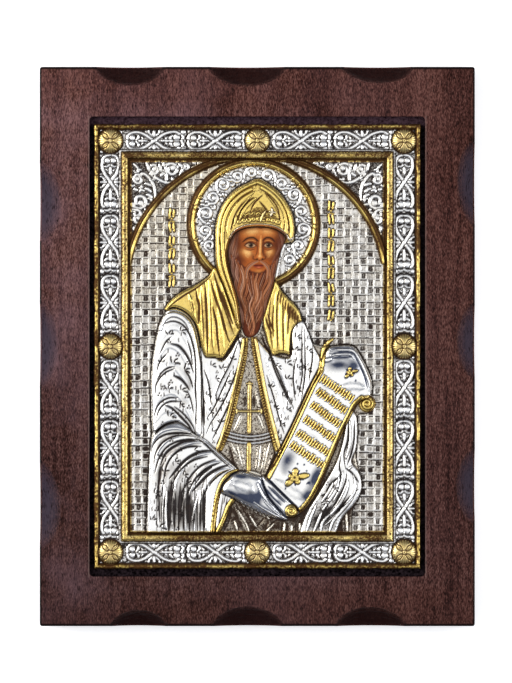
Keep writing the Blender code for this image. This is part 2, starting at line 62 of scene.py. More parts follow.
def makeStage():
    scene = bpy.context.scene
    camera = bpy.data.cameras.new("camera")
    camera.lens, camera.sensor_width = stage["lens"], stage["sensor"]
    camera.clip_start, camera.clip_end = stage["near"], stage["far"]
    scene.camera = bpy.data.objects.new("camera", camera)
    scene.collection.objects.link(scene.camera)
    reach = stage["viewHeight"] * mm * stage["lens"] / stage["sensor"]
    scene.camera.location = [v * mm for v in stage["aim"]] + [boardHigh.z + reach]

    bm = bmesh.new()
    bmesh.ops.create_grid(bm, x_segments=12, y_segments=12, size=stage["floorSize"])
    bmesh.ops.translate(bm, vec=(0, 0, boardLow.z - 0.2 * mm), verts=bm.verts)
    floor = finishPiece("floor", bm, smooth=False)
    paint = Recipe("floor paper")
    tone = stage["floorTint"] + (paint.noise(paint.place(), 12, 3) - 0.5) * 0.03
    paint.surface({"Base Color": paint.grey(tone), "Roughness": 0.85, "Specular IOR Level": 0.1,
        "Emission Color": (1, 1, 1, 1), "Emission Strength": stage["floorGlow"]})
    floor.data.materials.append(paint.material)

    for name, place, size, power, tint in stage["lamps"]:
        light = bpy.data.lights.new(name, "AREA")
        light.shape, light.size, light.energy, light.color = "DISK", size, power, tint
        lamp = bpy.data.objects.new(name, light)
        lamp.location = place
        lamp.rotation_euler = (-Vector(place)).to_track_quat("-Z", "Y").to_euler()
        scene.collection.objects.link(lamp)

    scene.world = bpy.data.worlds.new("studio")
    scene.world.use_nodes = True
    sky = Recipe("", scene.world.node_tree)
    way = sky.node("ShaderNodeTexCoord", {}, {}, "Generated")
    up = sky.node("ShaderNodeSeparateXYZ", {}, {0: way}, "Z")
    sky.tree.links.new(sky.ramp(up, stage["sky"]).socket, sky.tree.nodes["Background"].inputs[0])
    scene.view_settings.view_transform = "Standard"
    print("stage set")


def maths(operation, turned=False):
    # one Math node for an operator; turned is its reflected form, as in 1 - mask
    def run(self, other=None):
        pair = [other, self] if turned else [self, other]
        return self.recipe.node("ShaderNodeMath", {"operation": operation},
            {k: v for k, v in enumerate(pair) if v is not None})
    return run


class Wire:
    def __init__(self, recipe, socket):
        self.recipe, self.socket = recipe, socket

    __add__ = __radd__ = maths("ADD")
    __mul__ = __rmul__ = maths("MULTIPLY")
    __sub__, __rsub__ = maths("SUBTRACT"), maths("SUBTRACT", True)
    __truediv__, __pow__, __abs__ = maths("DIVIDE"), maths("POWER"), maths("ABSOLUTE")

    def clamp(self):
        return self.recipe.node("ShaderNodeClamp", {}, {"Value": self})


class Recipe:
    def __init__(self, name, tree=None):
        if tree is None:
            self.material = bpy.data.materials.new(name)
            self.material.use_nodes = True
            tree = self.material.node_tree
            tree.nodes.clear()
        self.tree = tree

    def node(self, kind, settings, sockets, out=0):
        made = self.tree.nodes.new(kind)
        for key, value in settings.items():
            if key == "stops":
                while len(made.color_ramp.elements) < len(value):
                    made.color_ramp.elements.new(0.5)
                for element, (at, colour) in zip(made.color_ramp.elements, value):
                    element.position, element.color = at, (*colour, 1)
            else:
                setattr(made, key, value)
        for key, value in sockets.items():
            if isinstance(value, Wire):
                self.tree.links.new(value.socket, made.inputs[key])
            else:
                made.inputs[key].default_value = value
        return Wire(self, made.outputs[out]) if len(made.outputs) else None

    def mix(self, factor, a, b, blend="MIX"):
        a, b = [(*v, 1) if isinstance(v, tuple) else v for v in (a, b)]
        settings = {"data_type": "RGBA", "blend_type": blend, "clamp_factor": True}
        return self.node("ShaderNodeMix", settings, {0: factor, 6: a, 7: b}, 2)

    def grey(self, value):
        return self.node("ShaderNodeCombineXYZ", {}, {0: value, 1: value, 2: value})

    def attribute(self, name, out="Fac"):
        return self.node("ShaderNodeAttribute", {"attribute_name": name}, {}, out)

    def place(self, scale=(1, 1, 1)):
        where = self.node("ShaderNodeTexCoord", {}, {}, "Object")
        return self.node("ShaderNodeMapping", {}, {"Vector": where, "Scale": scale})

    def apart(self, where):
        node = self.node("ShaderNodeSeparateXYZ", {}, {0: where}).socket.node
        return [Wire(self, out) for out in node.outputs]

    def noise(self, where, scale, detail, roughness=0.55, distortion=0):
        return self.node("ShaderNodeTexNoise", {}, {"Vector": where, "Scale": scale, "Detail": detail,
            "Roughness": roughness, "Distortion": distortion})

    def ramp(self, value, stops):
        return self.node("ShaderNodeValToRGB", {"stops": stops}, {0: value})

    def bump(self, strength, distance, height):
        return self.node("ShaderNodeBump", {}, {"Strength": strength, "Distance": distance,
            "Height": height})

    def surface(self, sockets):
        shader = self.node("ShaderNodeBsdfPrincipled", {}, sockets)
        self.node("ShaderNodeOutputMaterial", {}, {"Surface": shader})


def finishPiece(name, bm, smooth=True):
    bmesh.ops.recalc_face_normals(bm, faces=bm.faces[:])
    for face in bm.faces:
        face.smooth = smooth
    mesh = bpy.data.meshes.new(name)
    bm.to_mesh(mesh)
    bm.free()
    piece = bpy.data.objects.new(name, mesh)
    bpy.context.scene.collection.objects.link(piece)
    return piece


def belongs(piece, node):
    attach(piece, "root")
    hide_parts(node)


def unit(v):
    return np.clip(v, 0, 1)


def near(d, at, width):
    # 1 where d is at the given distance, falling off to 0 within about a width
    return np.exp(-np.abs((d - at) / width) ** 2)


def smoothLine(points, steps, closed=False):
    # a smooth line through x, y, x, y ...; a point given twice makes a corner
    p = np.reshape(points, (-1, 2)).astype(float)
    count = len(p)
    last = count if closed else count - 1
    t = np.linspace(0, 1, steps, endpoint=False)[:, None]
    parts = []
    for i in range(last):
        around = range(i - 1, i + 3)
        a, b, c, d = [p[k % count] if closed else p[min(max(k, 0), last)] for k in around]
        if np.allclose(b, c):
            continue
        parts.append(b + 0.5 * ((c - a) * t + (2 * a - 5 * b + 4 * c - d) * t * t
                                + (3 * b - a - 3 * c + d) * t ** 3))
    parts.append(p[0][None] if closed else p[-1][None])
    return np.concatenate(parts)


def boxBlur(a, radius):
    # mean over a square window, edges repeated
    for _ in range(2):
        c = np.cumsum(np.pad(a, ((radius + 1, radius), (0, 0)), mode="edge"), axis=0)
        a = ((c[2 * radius + 1:] - c[:-2 * radius - 1]) / (2 * radius + 1)).T
    return a


def blots(shape, cellsAcross, seed):
    # soft cloudy values from 0 to 1
    rng = np.random.RandomState(seed)
    ny, nx = shape
    ky = max(2, int(cellsAcross * ny / nx))
    lattice = rng.rand(ky + 3, cellsAcross + 3)
    y, x = np.linspace(0, ky, ny), np.linspace(0, cellsAcross, nx)
    iy, ix = y.astype(int), x.astype(int)
    fy, fx = y - iy, x - ix
    fy, fx = (fy * fy * (3 - 2 * fy))[:, None], (fx * fx * (3 - 2 * fx))[None]
    a, b = lattice[np.ix_(iy, ix)], lattice[np.ix_(iy, ix + 1)]
    c, d = lattice[np.ix_(iy + 1, ix)], lattice[np.ix_(iy + 1, ix + 1)]
    return (a * (1 - fx) + b * fx) * (1 - fy) + (c * (1 - fx) + d * fx) * fy


class Sheet:
    # the embossed metal, as heights in millimetres above its ground over a fine net
    def __init__(self, low, high, cell):
        self.nx, self.ny = [int(round((b - a) / cell)) + 1 for a, b in zip(low, high)]
        self.x = np.linspace(low[0], high[0], self.nx)
        self.y = np.linspace(low[1], high[1], self.ny)
        self.dx, self.dy = self.x[1] - self.x[0], self.y[1] - self.y[0]
        self.z, self.rest, self.gilt, self.dark, self.polish = np.zeros((5, self.ny, self.nx))

    def settle(self):
        # what is raised next stands on all that is there now
        self.rest = self.z.copy()

    def window(self, xa, xb, ya, yb):
        i0 = min(max(int((xa - self.x[0]) / self.dx), 0), self.nx - 1)
        i1 = min(max(int((xb - self.x[0]) / self.dx) + 2, i0 + 1), self.nx)
        j0 = min(max(int((ya - self.y[0]) / self.dy), 0), self.ny - 1)
        j1 = min(max(int((yb - self.y[0]) / self.dy) + 2, j0 + 1), self.ny)
        return slice(j0, j1), slice(i0, i1)

    def axes(self, at=(slice(None), slice(None))):
        return self.x[at[1]][None], self.y[at[0]][:, None]

    def put(self, at, where, **new):
        # new values of height, gilding, darkness (soot, patina and painted shade) or polish in a window,
        # where a mask is true
        for key, value in new.items():
            layer = getattr(self, key)
            layer[at] = np.where(where, value, layer[at])

    def soilAndShade(self, at, dark):
        # raises the darkness to at least the given value, for patina and for painted shade
        self.dark[at] = np.maximum(self.dark[at], dark)

    def trace(self, points, reach, steps, closed=False):
        # distance to a smooth line, how far along it, and which side
        line = smoothLine(points, steps, closed)
        low, high = line.min(0) - reach, line.max(0) + reach
        at = self.window(low[0], high[0], low[1], high[1])
        x, y = self.x[at[1]], self.y[at[0]]
        best = np.full((len(y), len(x)), 1e6)
        along, side = np.zeros_like(best), np.ones_like(best)
        lengths = np.hypot(*(line[1:] - line[:-1]).T)
        total = max(lengths.sum(), 1e-6)
        start = 0
        for a, b, length in zip(line[:-1], line[1:], lengths):
            if length < 1e-7:
                continue
            d = (b - a) / length
            i0, i1 = np.searchsorted(x, (min(a[0], b[0]) - reach, max(a[0], b[0]) + reach))
            j0, j1 = np.searchsorted(y, (min(a[1], b[1]) - reach, max(a[1], b[1]) + reach))
            if i1 > i0 and j1 > j0:
                px, py = x[i0:i1][None] - a[0], y[j0:j1][:, None] - a[1]
                t = np.clip(px * d[0] + py * d[1], 0, length)
                far = (px - t * d[0]) ** 2 + (py - t * d[1]) ** 2
                nearer = far < best[j0:j1, i0:i1]
                for layer, value in ((best, far), (along, (start + t) / total), (side,
                        np.sign(d[0] * py - d[1] * px))):
                    np.copyto(layer[j0:j1, i0:i1], value, where=nearer)
            start += length
        return at, np.sqrt(best), along, side, line

    def inside(self, at, line):
        x, y = self.x[at[1]], self.y[at[0]]
        hit = np.zeros((len(y), len(x)), bool)
        ends = np.concatenate([line, line[:1]])
        for a, b in zip(ends[:-1], ends[1:]):
            j0, j1 = np.searchsorted(y, (min(a[1], b[1]), max(a[1], b[1])))
            if j1 > j0:
                cross = a[0] + (y[j0:j1] - a[1]) * (b[0] - a[0]) / (b[1] - a[1])
                hit[j0:j1] ^= x[None] < cross[:, None]
        return hit

    @staticmethod
    def taper(along, ends):
        a, b = 1 - unit(along / 0.35), 1 - unit((1 - along) / 0.35)
        return 1 - (1 - ends[0]) * a * a - (1 - ends[1]) * b * b

    def cord(self, points, width, rise, gilt=None, ink=0.8, rim=0.34, ends=(1, 1), steps=6, cut=0.12,
            clean=0.9):
        # a rounded raised strand with a dark line each side
        at, far, along, _, _ = self.trace(points, width / 2 + rim, steps)
        thick = self.taper(along, ends)
        half = np.maximum(width / 2 * thick, 0.05)
        u = far / half
        core = u < 1
        top = self.rest[at] + rise * thick * np.sqrt(unit(1 - u ** 3.2))
        band = np.where(core, 0, unit(1.7 - 1.7 * (far - half) / rim))
        self.raiseTo(at, core, top, cut * band, 1 - clean, ink * band)
        if gilt is not None:
            self.put(at, u < 1.15, gilt=gilt)

    def raiseTo(self, at, core, top, cut, left, sootAndShade):
        # the last argument darkens the ground beside the raised part: patina with painted shade
        z, dark = self.z[at], self.dark[at]
        self.z[at] = np.where(core, np.maximum(z, top), z - cut)
        self.dark[at] = np.where(core, dark * left, np.maximum(dark, sootAndShade))

    def groove(self, points, width, depth, ink=0.8, ends=(0.4, 0.4), steps=6):
        # an engraved dark line
        width, ink = width + 0.26, min(1, ink * 1.15)
        at, far, along, _, _ = self.trace(points, width, steps)
        thick = self.taper(along, ends)
        v = np.exp(-1.1 * (far / np.maximum(width / 2 * thick, 0.05)) ** 3) * np.sqrt(thick)
        self.z[at] -= depth * v
        self.soilAndShade(at, ink * v)

    def ridge(self, points, width, rise, lean=0):
        # a soft raised fold; lean makes one of its sides the steeper
        at, far, along, side, _ = self.trace(points, width * 0.75, 6)
        thick = self.taper(along, (0.2, 0.2))
        half = width / 2 * thick * (1 + lean * side)
        self.z[at] += rise * thick * (0.5 + 0.5 * np.cos(np.pi * unit(far / np.maximum(half, 0.05))))

    def shade(self, points, width, amount, way=0):
        # a soft streak of painted shade, on one side of its line only if way is given
        at, far, along, side, _ = self.trace(points, width, 5)
        thick = self.taper(along, (0.3, 0.3))
        v = np.exp(-2 * (far / np.maximum(width / 2 * thick, 0.1)) ** 2)
        if way:
            v = v * (side * way > 0)
        self.dark[at] = unit(self.dark[at] + amount * v)

    def spot(self, x, y, rx, ry=None, turn=0):
        # 0 at the middle of an oval, 1 on its rim
        ry = ry or rx
        reach = max(rx, ry) * 1.8 + 0.6
        at = self.window(x - reach, x + reach, y - reach, y + reach)
        px, py = self.axes(at)
        px, py = px - x, py - y
        c, s = math.cos(turn), math.sin(turn)
        return at, np.hypot((px * c + py * s) / rx, (py * c - px * s) / ry)

    def bead(self, x, y, r, rise=0.5, gilt=None, ink=0.8, ry=None, turn=0, rim=0.34):
        at, u = self.spot(x, y, r, ry, turn)
        core = u < 1
        top = self.rest[at] + rise * np.sqrt(unit(1 - u ** 2.6))
        band = np.where(core, 0, unit(1.7 - 1.7 * (u - 1) * min(r, ry or r) / rim))
        self.raiseTo(at, core, top, 0.12 * band, 0.1, ink * band)
        if gilt is not None:
            self.put(at, u < 1.1, gilt=gilt)

    def pit(self, x, y, r, depth=0.3, ink=0.9):
        at, u = self.spot(x, y, r)
        v = np.exp(-1.3 * u ** 2.4)
        self.z[at] -= depth * v
        self.soilAndShade(at, ink * v)

    def cloud(self, x, y, rx, ry, turn, amount):
        # a soft oval of painted shade; on polished metal it shows as a painted dark bluish reflection
        at, u = self.spot(x, y, rx, ry, turn)
        self.dark[at] = unit(self.dark[at] + amount * np.exp(-1.5 * u * u))

    def form(self, outline, level, roll=2, edge=0.6, gilt=0, ink=0.85, rim=0.5, polish=0, crown=0,
            crownReach=8, dark=0):
        # a filled form with a rolled edge, standing at its own level above the ground
        reach = max(roll, crownReach if crown else 0, rim) + 0.3
        at, far, _, _, line = self.trace(outline, reach, 6, True)
        hit = self.inside(at, line)
        d = np.where(hit, far, -far)
        u = 1 - unit(d / roll)
        top = level * (edge + (1 - edge) * np.sqrt(unit(1 - u * u)))
        if crown:
            w = 1 - unit(d / crownReach)
            top = top + crown * (1 - w * w)
        band = np.where(hit, 0, unit(1.5 + 1.5 * d / rim))
        self.z[at] = np.where(hit, top, self.z[at] - 0.15 * band)
        self.dark[at] = np.where(hit, dark, np.maximum(self.dark[at], ink * band))
        self.put(at, hit, gilt=gilt, polish=polish)
        self.settle()
        return at, d


def placed(points, at, turn, flip):
    # own points of a motif, carried to its place on the sheet
    c, s = math.cos(turn), math.sin(turn)
    return [(at[0] + (u * c - v * flip * s),
        at[1] + (u * s + v * flip * c)) for u, v in np.reshape(points, (-1, 2))]


border = dict(
    bandX=70.95, bandY=99.35, bossRadius=5.9, bossRise=3.1, lengthOfUnit=29.2,
    ropeX=77.75, ropeY=106.25, ropeHalf=1.25, ropeRise=1.85,
    innerX=63.9, innerY=92.3, innerHalf=1.75, innerRise=2.15,
    # one side of a pair of hearts whose ribbons cross at their points; the other mirrors it
    ribbon=(13, 0.2, 12.6, 2.3, 10.6, 3.9, 7.4, 4.15, 4.2, 2.9, 2, 1.35, 0, 0, -2, -1.35,
            -4.6, -3.2, -7.8, -4.25, -10.4, -4.3, -12, -3.4),
    leaves=[("cord", (0.52, 2.1, 1.82, 3.5, 2.6, 4.9), 1.25, 0.36, dict(rim=0.42, ends=(0.7, 0.9))),
            ("cord", (-0.52, 2.1, -1.82, 3.5, -2.6, 4.9), 1.25, 0.36, dict(rim=0.42, ends=(0.7, 0.9))),
            ("cord", (0, 2.1, 0, 3.5, 0, 4.7), 1.35, 0.36, dict(rim=0.42, ends=(0.7, 0.9))),
            ("pit", (1.5, 4.4), 0.85, 0.4, {}), ("pit", (-1.5, 4.4), 0.85, 0.4, {}),
            ("pit", (4.9, 4.8), 0.8, 0.35, {}), ("pit", (-5.1, 4.8), 0.8, 0.35, {}),
            ("bead", (10.4, 1.45), 1.35, 0.4, dict(rim=0.5)),
            ("pit", (8.7, 2.3), 0.7, 0.35, {}), ("pit", (4.9, 1.9), 0.7, 0.35, {}),
            ("cord", (7.5, 2.7, 7.5, 1.5, 8.4, 0.4), 1.05, 0.36, dict(rim=0.46, ends=(0.7, 0.9))),
            ("cord", (6.4, 0.2, 5.4, 1.1, 6, 1.9), 0.8, 0.45, dict(ink=0.9, ends=(1, 0.5))),
            ("cord", (-8.5, 0.2, -7.7, 1.4, -8.6, 2.5), 1.25, 0.38, dict(rim=0.46, ends=(1, 0.7))),
            ("cord", (-6.4, 0.2, -5.6, 1, -6.2, 1.7), 0.9, 0.34, dict(rim=0.4, ends=(1, 0.5))),
            ("bead", (-10.8, 1.75), 1.55, 0.45, dict(rim=0.5)),
            ("pit", (-7.1, 2.7), 0.75, 0.35, {}), ("pit", (-4.6, 1.5), 0.6, 0.35, {}),
            ("cord", (-13.1, 0, -13.8, 1.5, -13.5, 3), 1.15, 0.34, dict(rim=0.42, ends=(1, 0.7))),
            ("bead", (-14, 4.3), 1.15, 0.36, dict(rim=0.44)),
            ("groove", (-15.5, 0, -14.9, 1.6, -15.7, 3.2, -15.8, 4.8), 0.55, 0.3,
             dict(ends=(1, 0.7)))],
    stems=[((6.8, 0, 5.2, 0, 3.4, 0), 1.3, 0.38, 1, 0.46, (1, 0.4)),
           ((-8.4, 0, -6, 0, -3.4, 0), 1.3, 0.38, 1, 0.46, (1, 0.4)),
           ((-9.8, 0, -12, 0), 0.7, 0.4, 0.9, 0.3, (1, 1))],
)


def heartUnit(sheet, at, turn, flip, stretch):
    # one length of the border
    def put(points, s=1):
        return placed([(u * stretch, v * s) for u, v in np.reshape(points, (-1, 2))], at, turn, flip)

    for s in (1, -1):
        for tool, points, size, rise, more in border["leaves"]:
            points = put(points, s)
            where = points[0] if tool in ("pit", "bead") else [points]
            getattr(sheet, tool)(*where, size, rise, **{"ink": 1, **more})
    for points, width, rise, ink, rim, ends in border["stems"]:
        sheet.cord(put(points), width, rise, ink=ink, rim=rim, ends=ends)
    for s in (1, -1):
        sheet.cord(put(border["ribbon"], s), 1.5, 0.38, ink=1, rim=0.55, ends=(0.8, 0.9))


def boss(sheet, x0, y0):
    # a gilt dome with a cross of flared petals between four narrow leaves
    r0, rise = border["bossRadius"], border["bossRise"]
    at, r = sheet.spot(x0, y0, 4)
    r = r * 4
    px, py = sheet.axes(at)
    px, py = np.broadcast_arrays(px - x0, py - y0)
    turn = np.arctan2(py, px)
    dome = 0.55 + (rise - 0.75) * np.sqrt(unit(1 - unit(r / r0) ** 2.3))
    # from each diagonal: p along it, q away from it
    diagonal = np.pi / 4 - np.abs((turn + np.pi / 4) % (np.pi / 2) - np.pi / 4)
    p, q = r * np.cos(diagonal), r * np.sin(diagonal)
    half = 0.92 * np.sin(np.pi * unit((p - 1) / 4.6)) ** 0.8
    leafEdge = near(q, half, 0.27) * ((p > 0.9) & (p < 5.7))
    vein = near(q, 0, 0.2) * ((p > 2) & (p < 4.6)) * 0.55
    rays = (0.5 + 0.5 * np.cos(turn * 28)) * (r > 1.3) * (q > half + 0.2) * 0.6
    rays = rays + (q < half) * (p > 1.2) * (p < 5.5) * 0.16
    square = np.maximum(np.abs(px), np.abs(py))
    hub = np.maximum(near(square, 0.95, 0.25) * 0.8, near(r, 0, 0.3) * 0.8)
    cut = unit(leafEdge + hub + vein)
    rimDark = near(r, r0 + 0.1, 0.45)
    # painted shade round the rim, heavier at its top and foot
    lip = unit((r - 4.2) / 1.7) * (0.2 + 0.34 * (np.abs(py) > np.abs(px)))
    core = r < r0
    sheet.z[at] = np.where(core, dome - 0.32 * cut - 0.12 * rays, sheet.z[at] - 0.15 * rimDark)
    tone = unit(0.9 * cut + rays * 0.8 + lip)
    sheet.dark[at] = np.where(core, tone, np.maximum(sheet.dark[at], 0.9 * rimDark))
    sheet.put(at, r < r0 + 0.35, gilt=0.86)
    sheet.put(at, core, polish=0.25)


def frameDistance(sheet, halfX, halfY):
    # distance outward from the edge line of a rectangle, and whether a side run is upright
    x, y = sheet.axes()
    ax, ay = np.abs(x) - halfX, np.abs(y) - halfY
    return np.maximum(ax, ay), ax > ay


def makeBorder(sheet):
    b = border
    shape = sheet.z.shape
    wobble, fine = blots(shape, 60, 3) - 0.5, blots(shape, 240, 4) - 0.5
    coarse, grain = blots(shape, 22, 5), blots(shape, 300, 6)
    d, upright = frameDistance(sheet, b["innerX"], b["innerY"])
    sheet.put(..., (d > 0) & (d < 14), z=sheet.z + 0.1 * grain,
        dark=0.2 + unit((grain - 0.36) * 2.6) * coarse ** 0.4)
    sheet.settle()
    # three lengths between the bosses up each side, two along the top and the foot
    unitLength = b["lengthOfUnit"]
    stretchY = (b["bandY"] - 2 * b["bossRadius"]) / 3 / unitLength
    stretchX = (b["bandX"] - 2 * b["bossRadius"]) / 2 / unitLength
    for side in (-1, 1):
        for half in (1, -1):
            for k in range(3):
                y = half * b["bandY"] / 2 + (1 - k) * stretchY * unitLength + 0.6
                heartUnit(sheet, (side * b["bandX"], y), math.pi / 2, side, stretchY)
    for side in (-1, 1):
        for half in (1, -1):
            for k in range(2):
                x = half * b["bandX"] / 2 + (0.5 - k) * stretchX * unitLength + 0.4
                heartUnit(sheet, (x, side * b["bandY"]), math.pi, -side, stretchX)
    corners = [(-1, -1), (-1, 1), (1, -1), (1, 1)]
    bosses = [(sx * b["bandX"],
        sy * b["bandY"]) for sx in (-1, 0, 1) for sy in (-1, 0, 1) if (sx, sy) != (0, 0)]
    for x0, y0 in bosses:  # little buds round each boss
        for ax, ay in corners:
            sheet.bead(x0 + 4.4 * ax, y0 + 5.3 * ay, 0.8, 0.5, ink=0.9)
            sheet.cord((x0 + 5.2 * ax, y0 + 3.6 * ay, x0 + 5.3 * ax, y0 + 4.6 * ay), 0.7, 0.35, ink=0.7)
    # pale strip, then the inner moulding with its dark line and inner slope
    d = d + 0.18 * wobble
    w = b["innerHalf"]
    strip = unit(1 - np.abs(d - w - 0.55) / 0.55)
    sheet.put(..., np.abs(d - w - 0.55) < 0.55, z=0.35 + 0.35 * np.sqrt(strip),
        dark=0.12 + 0.5 * grain + 0.3 * (1 - strip))
    sheet.soilAndShade(..., 0.8 * np.exp(-((d - w - 1.25) / 0.25) ** 2))
    hit = np.abs(d) < w
    top = 0.55 + (b["innerRise"] - 0.55) * np.sqrt(1 - unit(np.abs(d) / w) ** 2.4)
    dents = unit(fine * 3.6 - 0.95)
    specks = blots(shape, 380, 13)
    # tarnish with painted shade: the runs along the top and foot are darker than the upright sides
    run = np.where(upright, 0.42, 0.62)
    tarnishAndShade = unit(0.9 * dents + run * (0.4 + coarse) + 0.7 * (specks - 0.4))
    # painted shade on the inner side of the moulding
    tarnishAndShade = np.maximum(tarnishAndShade, 0.72 * unit((-d - 0.55) / 0.7))
    sheet.put(..., hit, z=top - 0.3 * dents - 0.12 * np.abs(wobble), dark=tarnishAndShade, polish=0.4)
    sheet.put(..., (d > -3.1) & (d < w + 0.1), gilt=0.93)
    sheet.soilAndShade(..., 0.7 * np.exp(-((d - w - 0.02) / 0.22) ** 2))
    # inner slope down to the field
    slope = np.exp(-np.abs((d + w + 0.25) / 0.42) ** 3)
    sheet.z = sheet.z * (1 - slope) - 0.3 * slope
    sheet.soilAndShade(..., slope)
    lane = np.exp(-np.abs((d + w + 1.2) / 0.5) ** 3) * (0.35 + 0.5 * coarse)
    sheet.put(..., lane > 0.3, gilt=np.maximum(sheet.gilt, 0.45))
    # painted shade: the lane is darker along the top and foot than up the sides
    sheet.soilAndShade(..., np.where(upright, 0.55, 0.85) * lane)
    # outer rope moulding
    d, upright = frameDistance(sheet, b["ropeX"], b["ropeY"])
    d = d + 0.35 * wobble
    w = b["ropeHalf"]
    u = unit(np.abs(d) / w)
    hit = np.abs(d) < w
    lumps = blots(shape, 210, 9)
    top = 0.4 + (b["ropeRise"] - 0.4) * np.sqrt(1 - u * u) - 0.2 * (1 - lumps) ** 2
    sheet.z = np.where(hit, top, np.where(d >= w, 0.15, sheet.z))
    # tarnish with painted shade, heavier along the top and foot
    run = np.where(upright, 0.5, 0.62)
    worn = unit((blots(shape, 26, 12) - 0.62) * 3)
    tarnishAndShade = np.clip(0.6 * (0.62 - lumps) + run + 0.7 * (coarse - 0.4) + 0.35 * worn, 0, 0.9)
    # painted shade on the inner side of the rope
    tarnishAndShade = np.maximum(tarnishAndShade, 0.9 * unit((-d - 0.15) / 0.7))
    sheet.put(..., np.abs(d) < w + 0.3, dark=tarnishAndShade)
    sheet.put(..., d > -w - 0.25, gilt=1)
    sheet.put(..., d >= w, dark=np.maximum(sheet.dark, 0.5))
    ditch = np.exp(-((d + w + 0.3) / 0.35) ** 2)
    sheet.z -= 0.2 * ditch
    sheet.soilAndShade(..., 0.8 * ditch)
    sheet.put(..., hit, polish=0.3)
    for x0, y0 in bosses:
        boss(sheet, x0, y0)


field = dict(
    halfX=61.2, halfY=90.2, pitch=3.62, rowPitch=3.48, weaveX=-59.4, weaveY=39.2,
    archX=-0.4, archY=29.4, archRadius=63, archHalf=1.45, archRise=1.6,
    haloX=-1.8, haloY=59.1, haloRadius=30.1, haloHalf=1.75, haloRise=2,
    # curls of the left corner: middle, radius, start, way, turns, width, points of its stem
    curls=[(-57.4, 80.6, 3, 60, 1, 1.25, 1.1, (-49.6, 70.5, -49.4, 75, -50.8, 79.4, -53.4, 82.6,
                                                 -55.4, 83.6)),
           (-56.9, 70.2, 4.3, 200, 1, 1.3, 1.25, (-52.4, 66, -51.4, 68.6)),
           (-57.4, 61.2, 3, 20, 1, 1.2, 1.1, (-60.4, 66.4, -57, 65.4)),
           (-57.6, 54.2, 2.1, 40, 1, 1.1, 0.9, (-55.6, 57.6)),
           (-41.4, 85.4, 3.8, 160, -1, 1.3, 1.2, (-47.6, 79.4, -44, 80.2)),
           (-50.4, 85.8, 3.2, 250, 1, 1.3, 1.15, (-40, 79.6, -45, 79.4)),
           (-34.4, 86.6, 2.2, 200, -1, 1.2, 0.9, (-37.6, 82.6)),
           (-27.6, 88.4, 1.4, 240, -1, 1.1, 0.8, (-31.6, 86.6))],
    leaves=[(-54.6, 78.6, -51.2, 77.6), (-54.4, 76.4, -51.4, 74.4), (-53.6, 73.4, -50.8, 72),
            (-53.8, 88.6, -52.2, 84.4), (-47.4, 88.4, -46.4, 84.2), (-46.8, 82.2, -44.6, 83.6),
            (-38.2, 88.4, -36.4, 86.2), (-31.6, 89.4, -30, 88), (-24, 90, -21, 89.6),
            (-59.8, 75.8, -58, 75.2), (-59.8, 64, -58.6, 63), (-56.2, 57.6, -54.6, 56.4),
            (-59.8, 58, -59, 55.4), (-44.4, 88.6, -45.2, 86.8), (-60, 49.6, -59, 46.6)],
    pits=[(-55.2, 66.2), (-60, 78.4), (-50.2, 82.4), (-45.4, 86.2), (-38, 83.6), (-53.6, 62.4),
          (-48.4, 87.6), (-33, 89.6), (-59.6, 52)],
    # curls round the halo, climbing each half to its top: angle, reach, radius
    climbs=[(1, ((206, 23.4, 3), (188, 23.6, 3.7), (167.5, 23.4, 4), (147, 23.6, 3.8),
                 (127.5, 24, 3.7), (109, 24.4, 3.5), (92.5, 24.9, 2.9))),
            (-1, ((-45, 24.2, 3.2), (-26, 24, 3.6), (-6, 24, 3.8), (15, 24, 3.8),
                  (35.5, 24, 3.7), (55, 24, 3.6), (73.5, 24.4, 3.4)))],
    # columns of marks: middle, top, step and how many
    marks=[(-41.3, 64.2, 6.6, 6), (35.6, 68, 6.6, 9)],
)


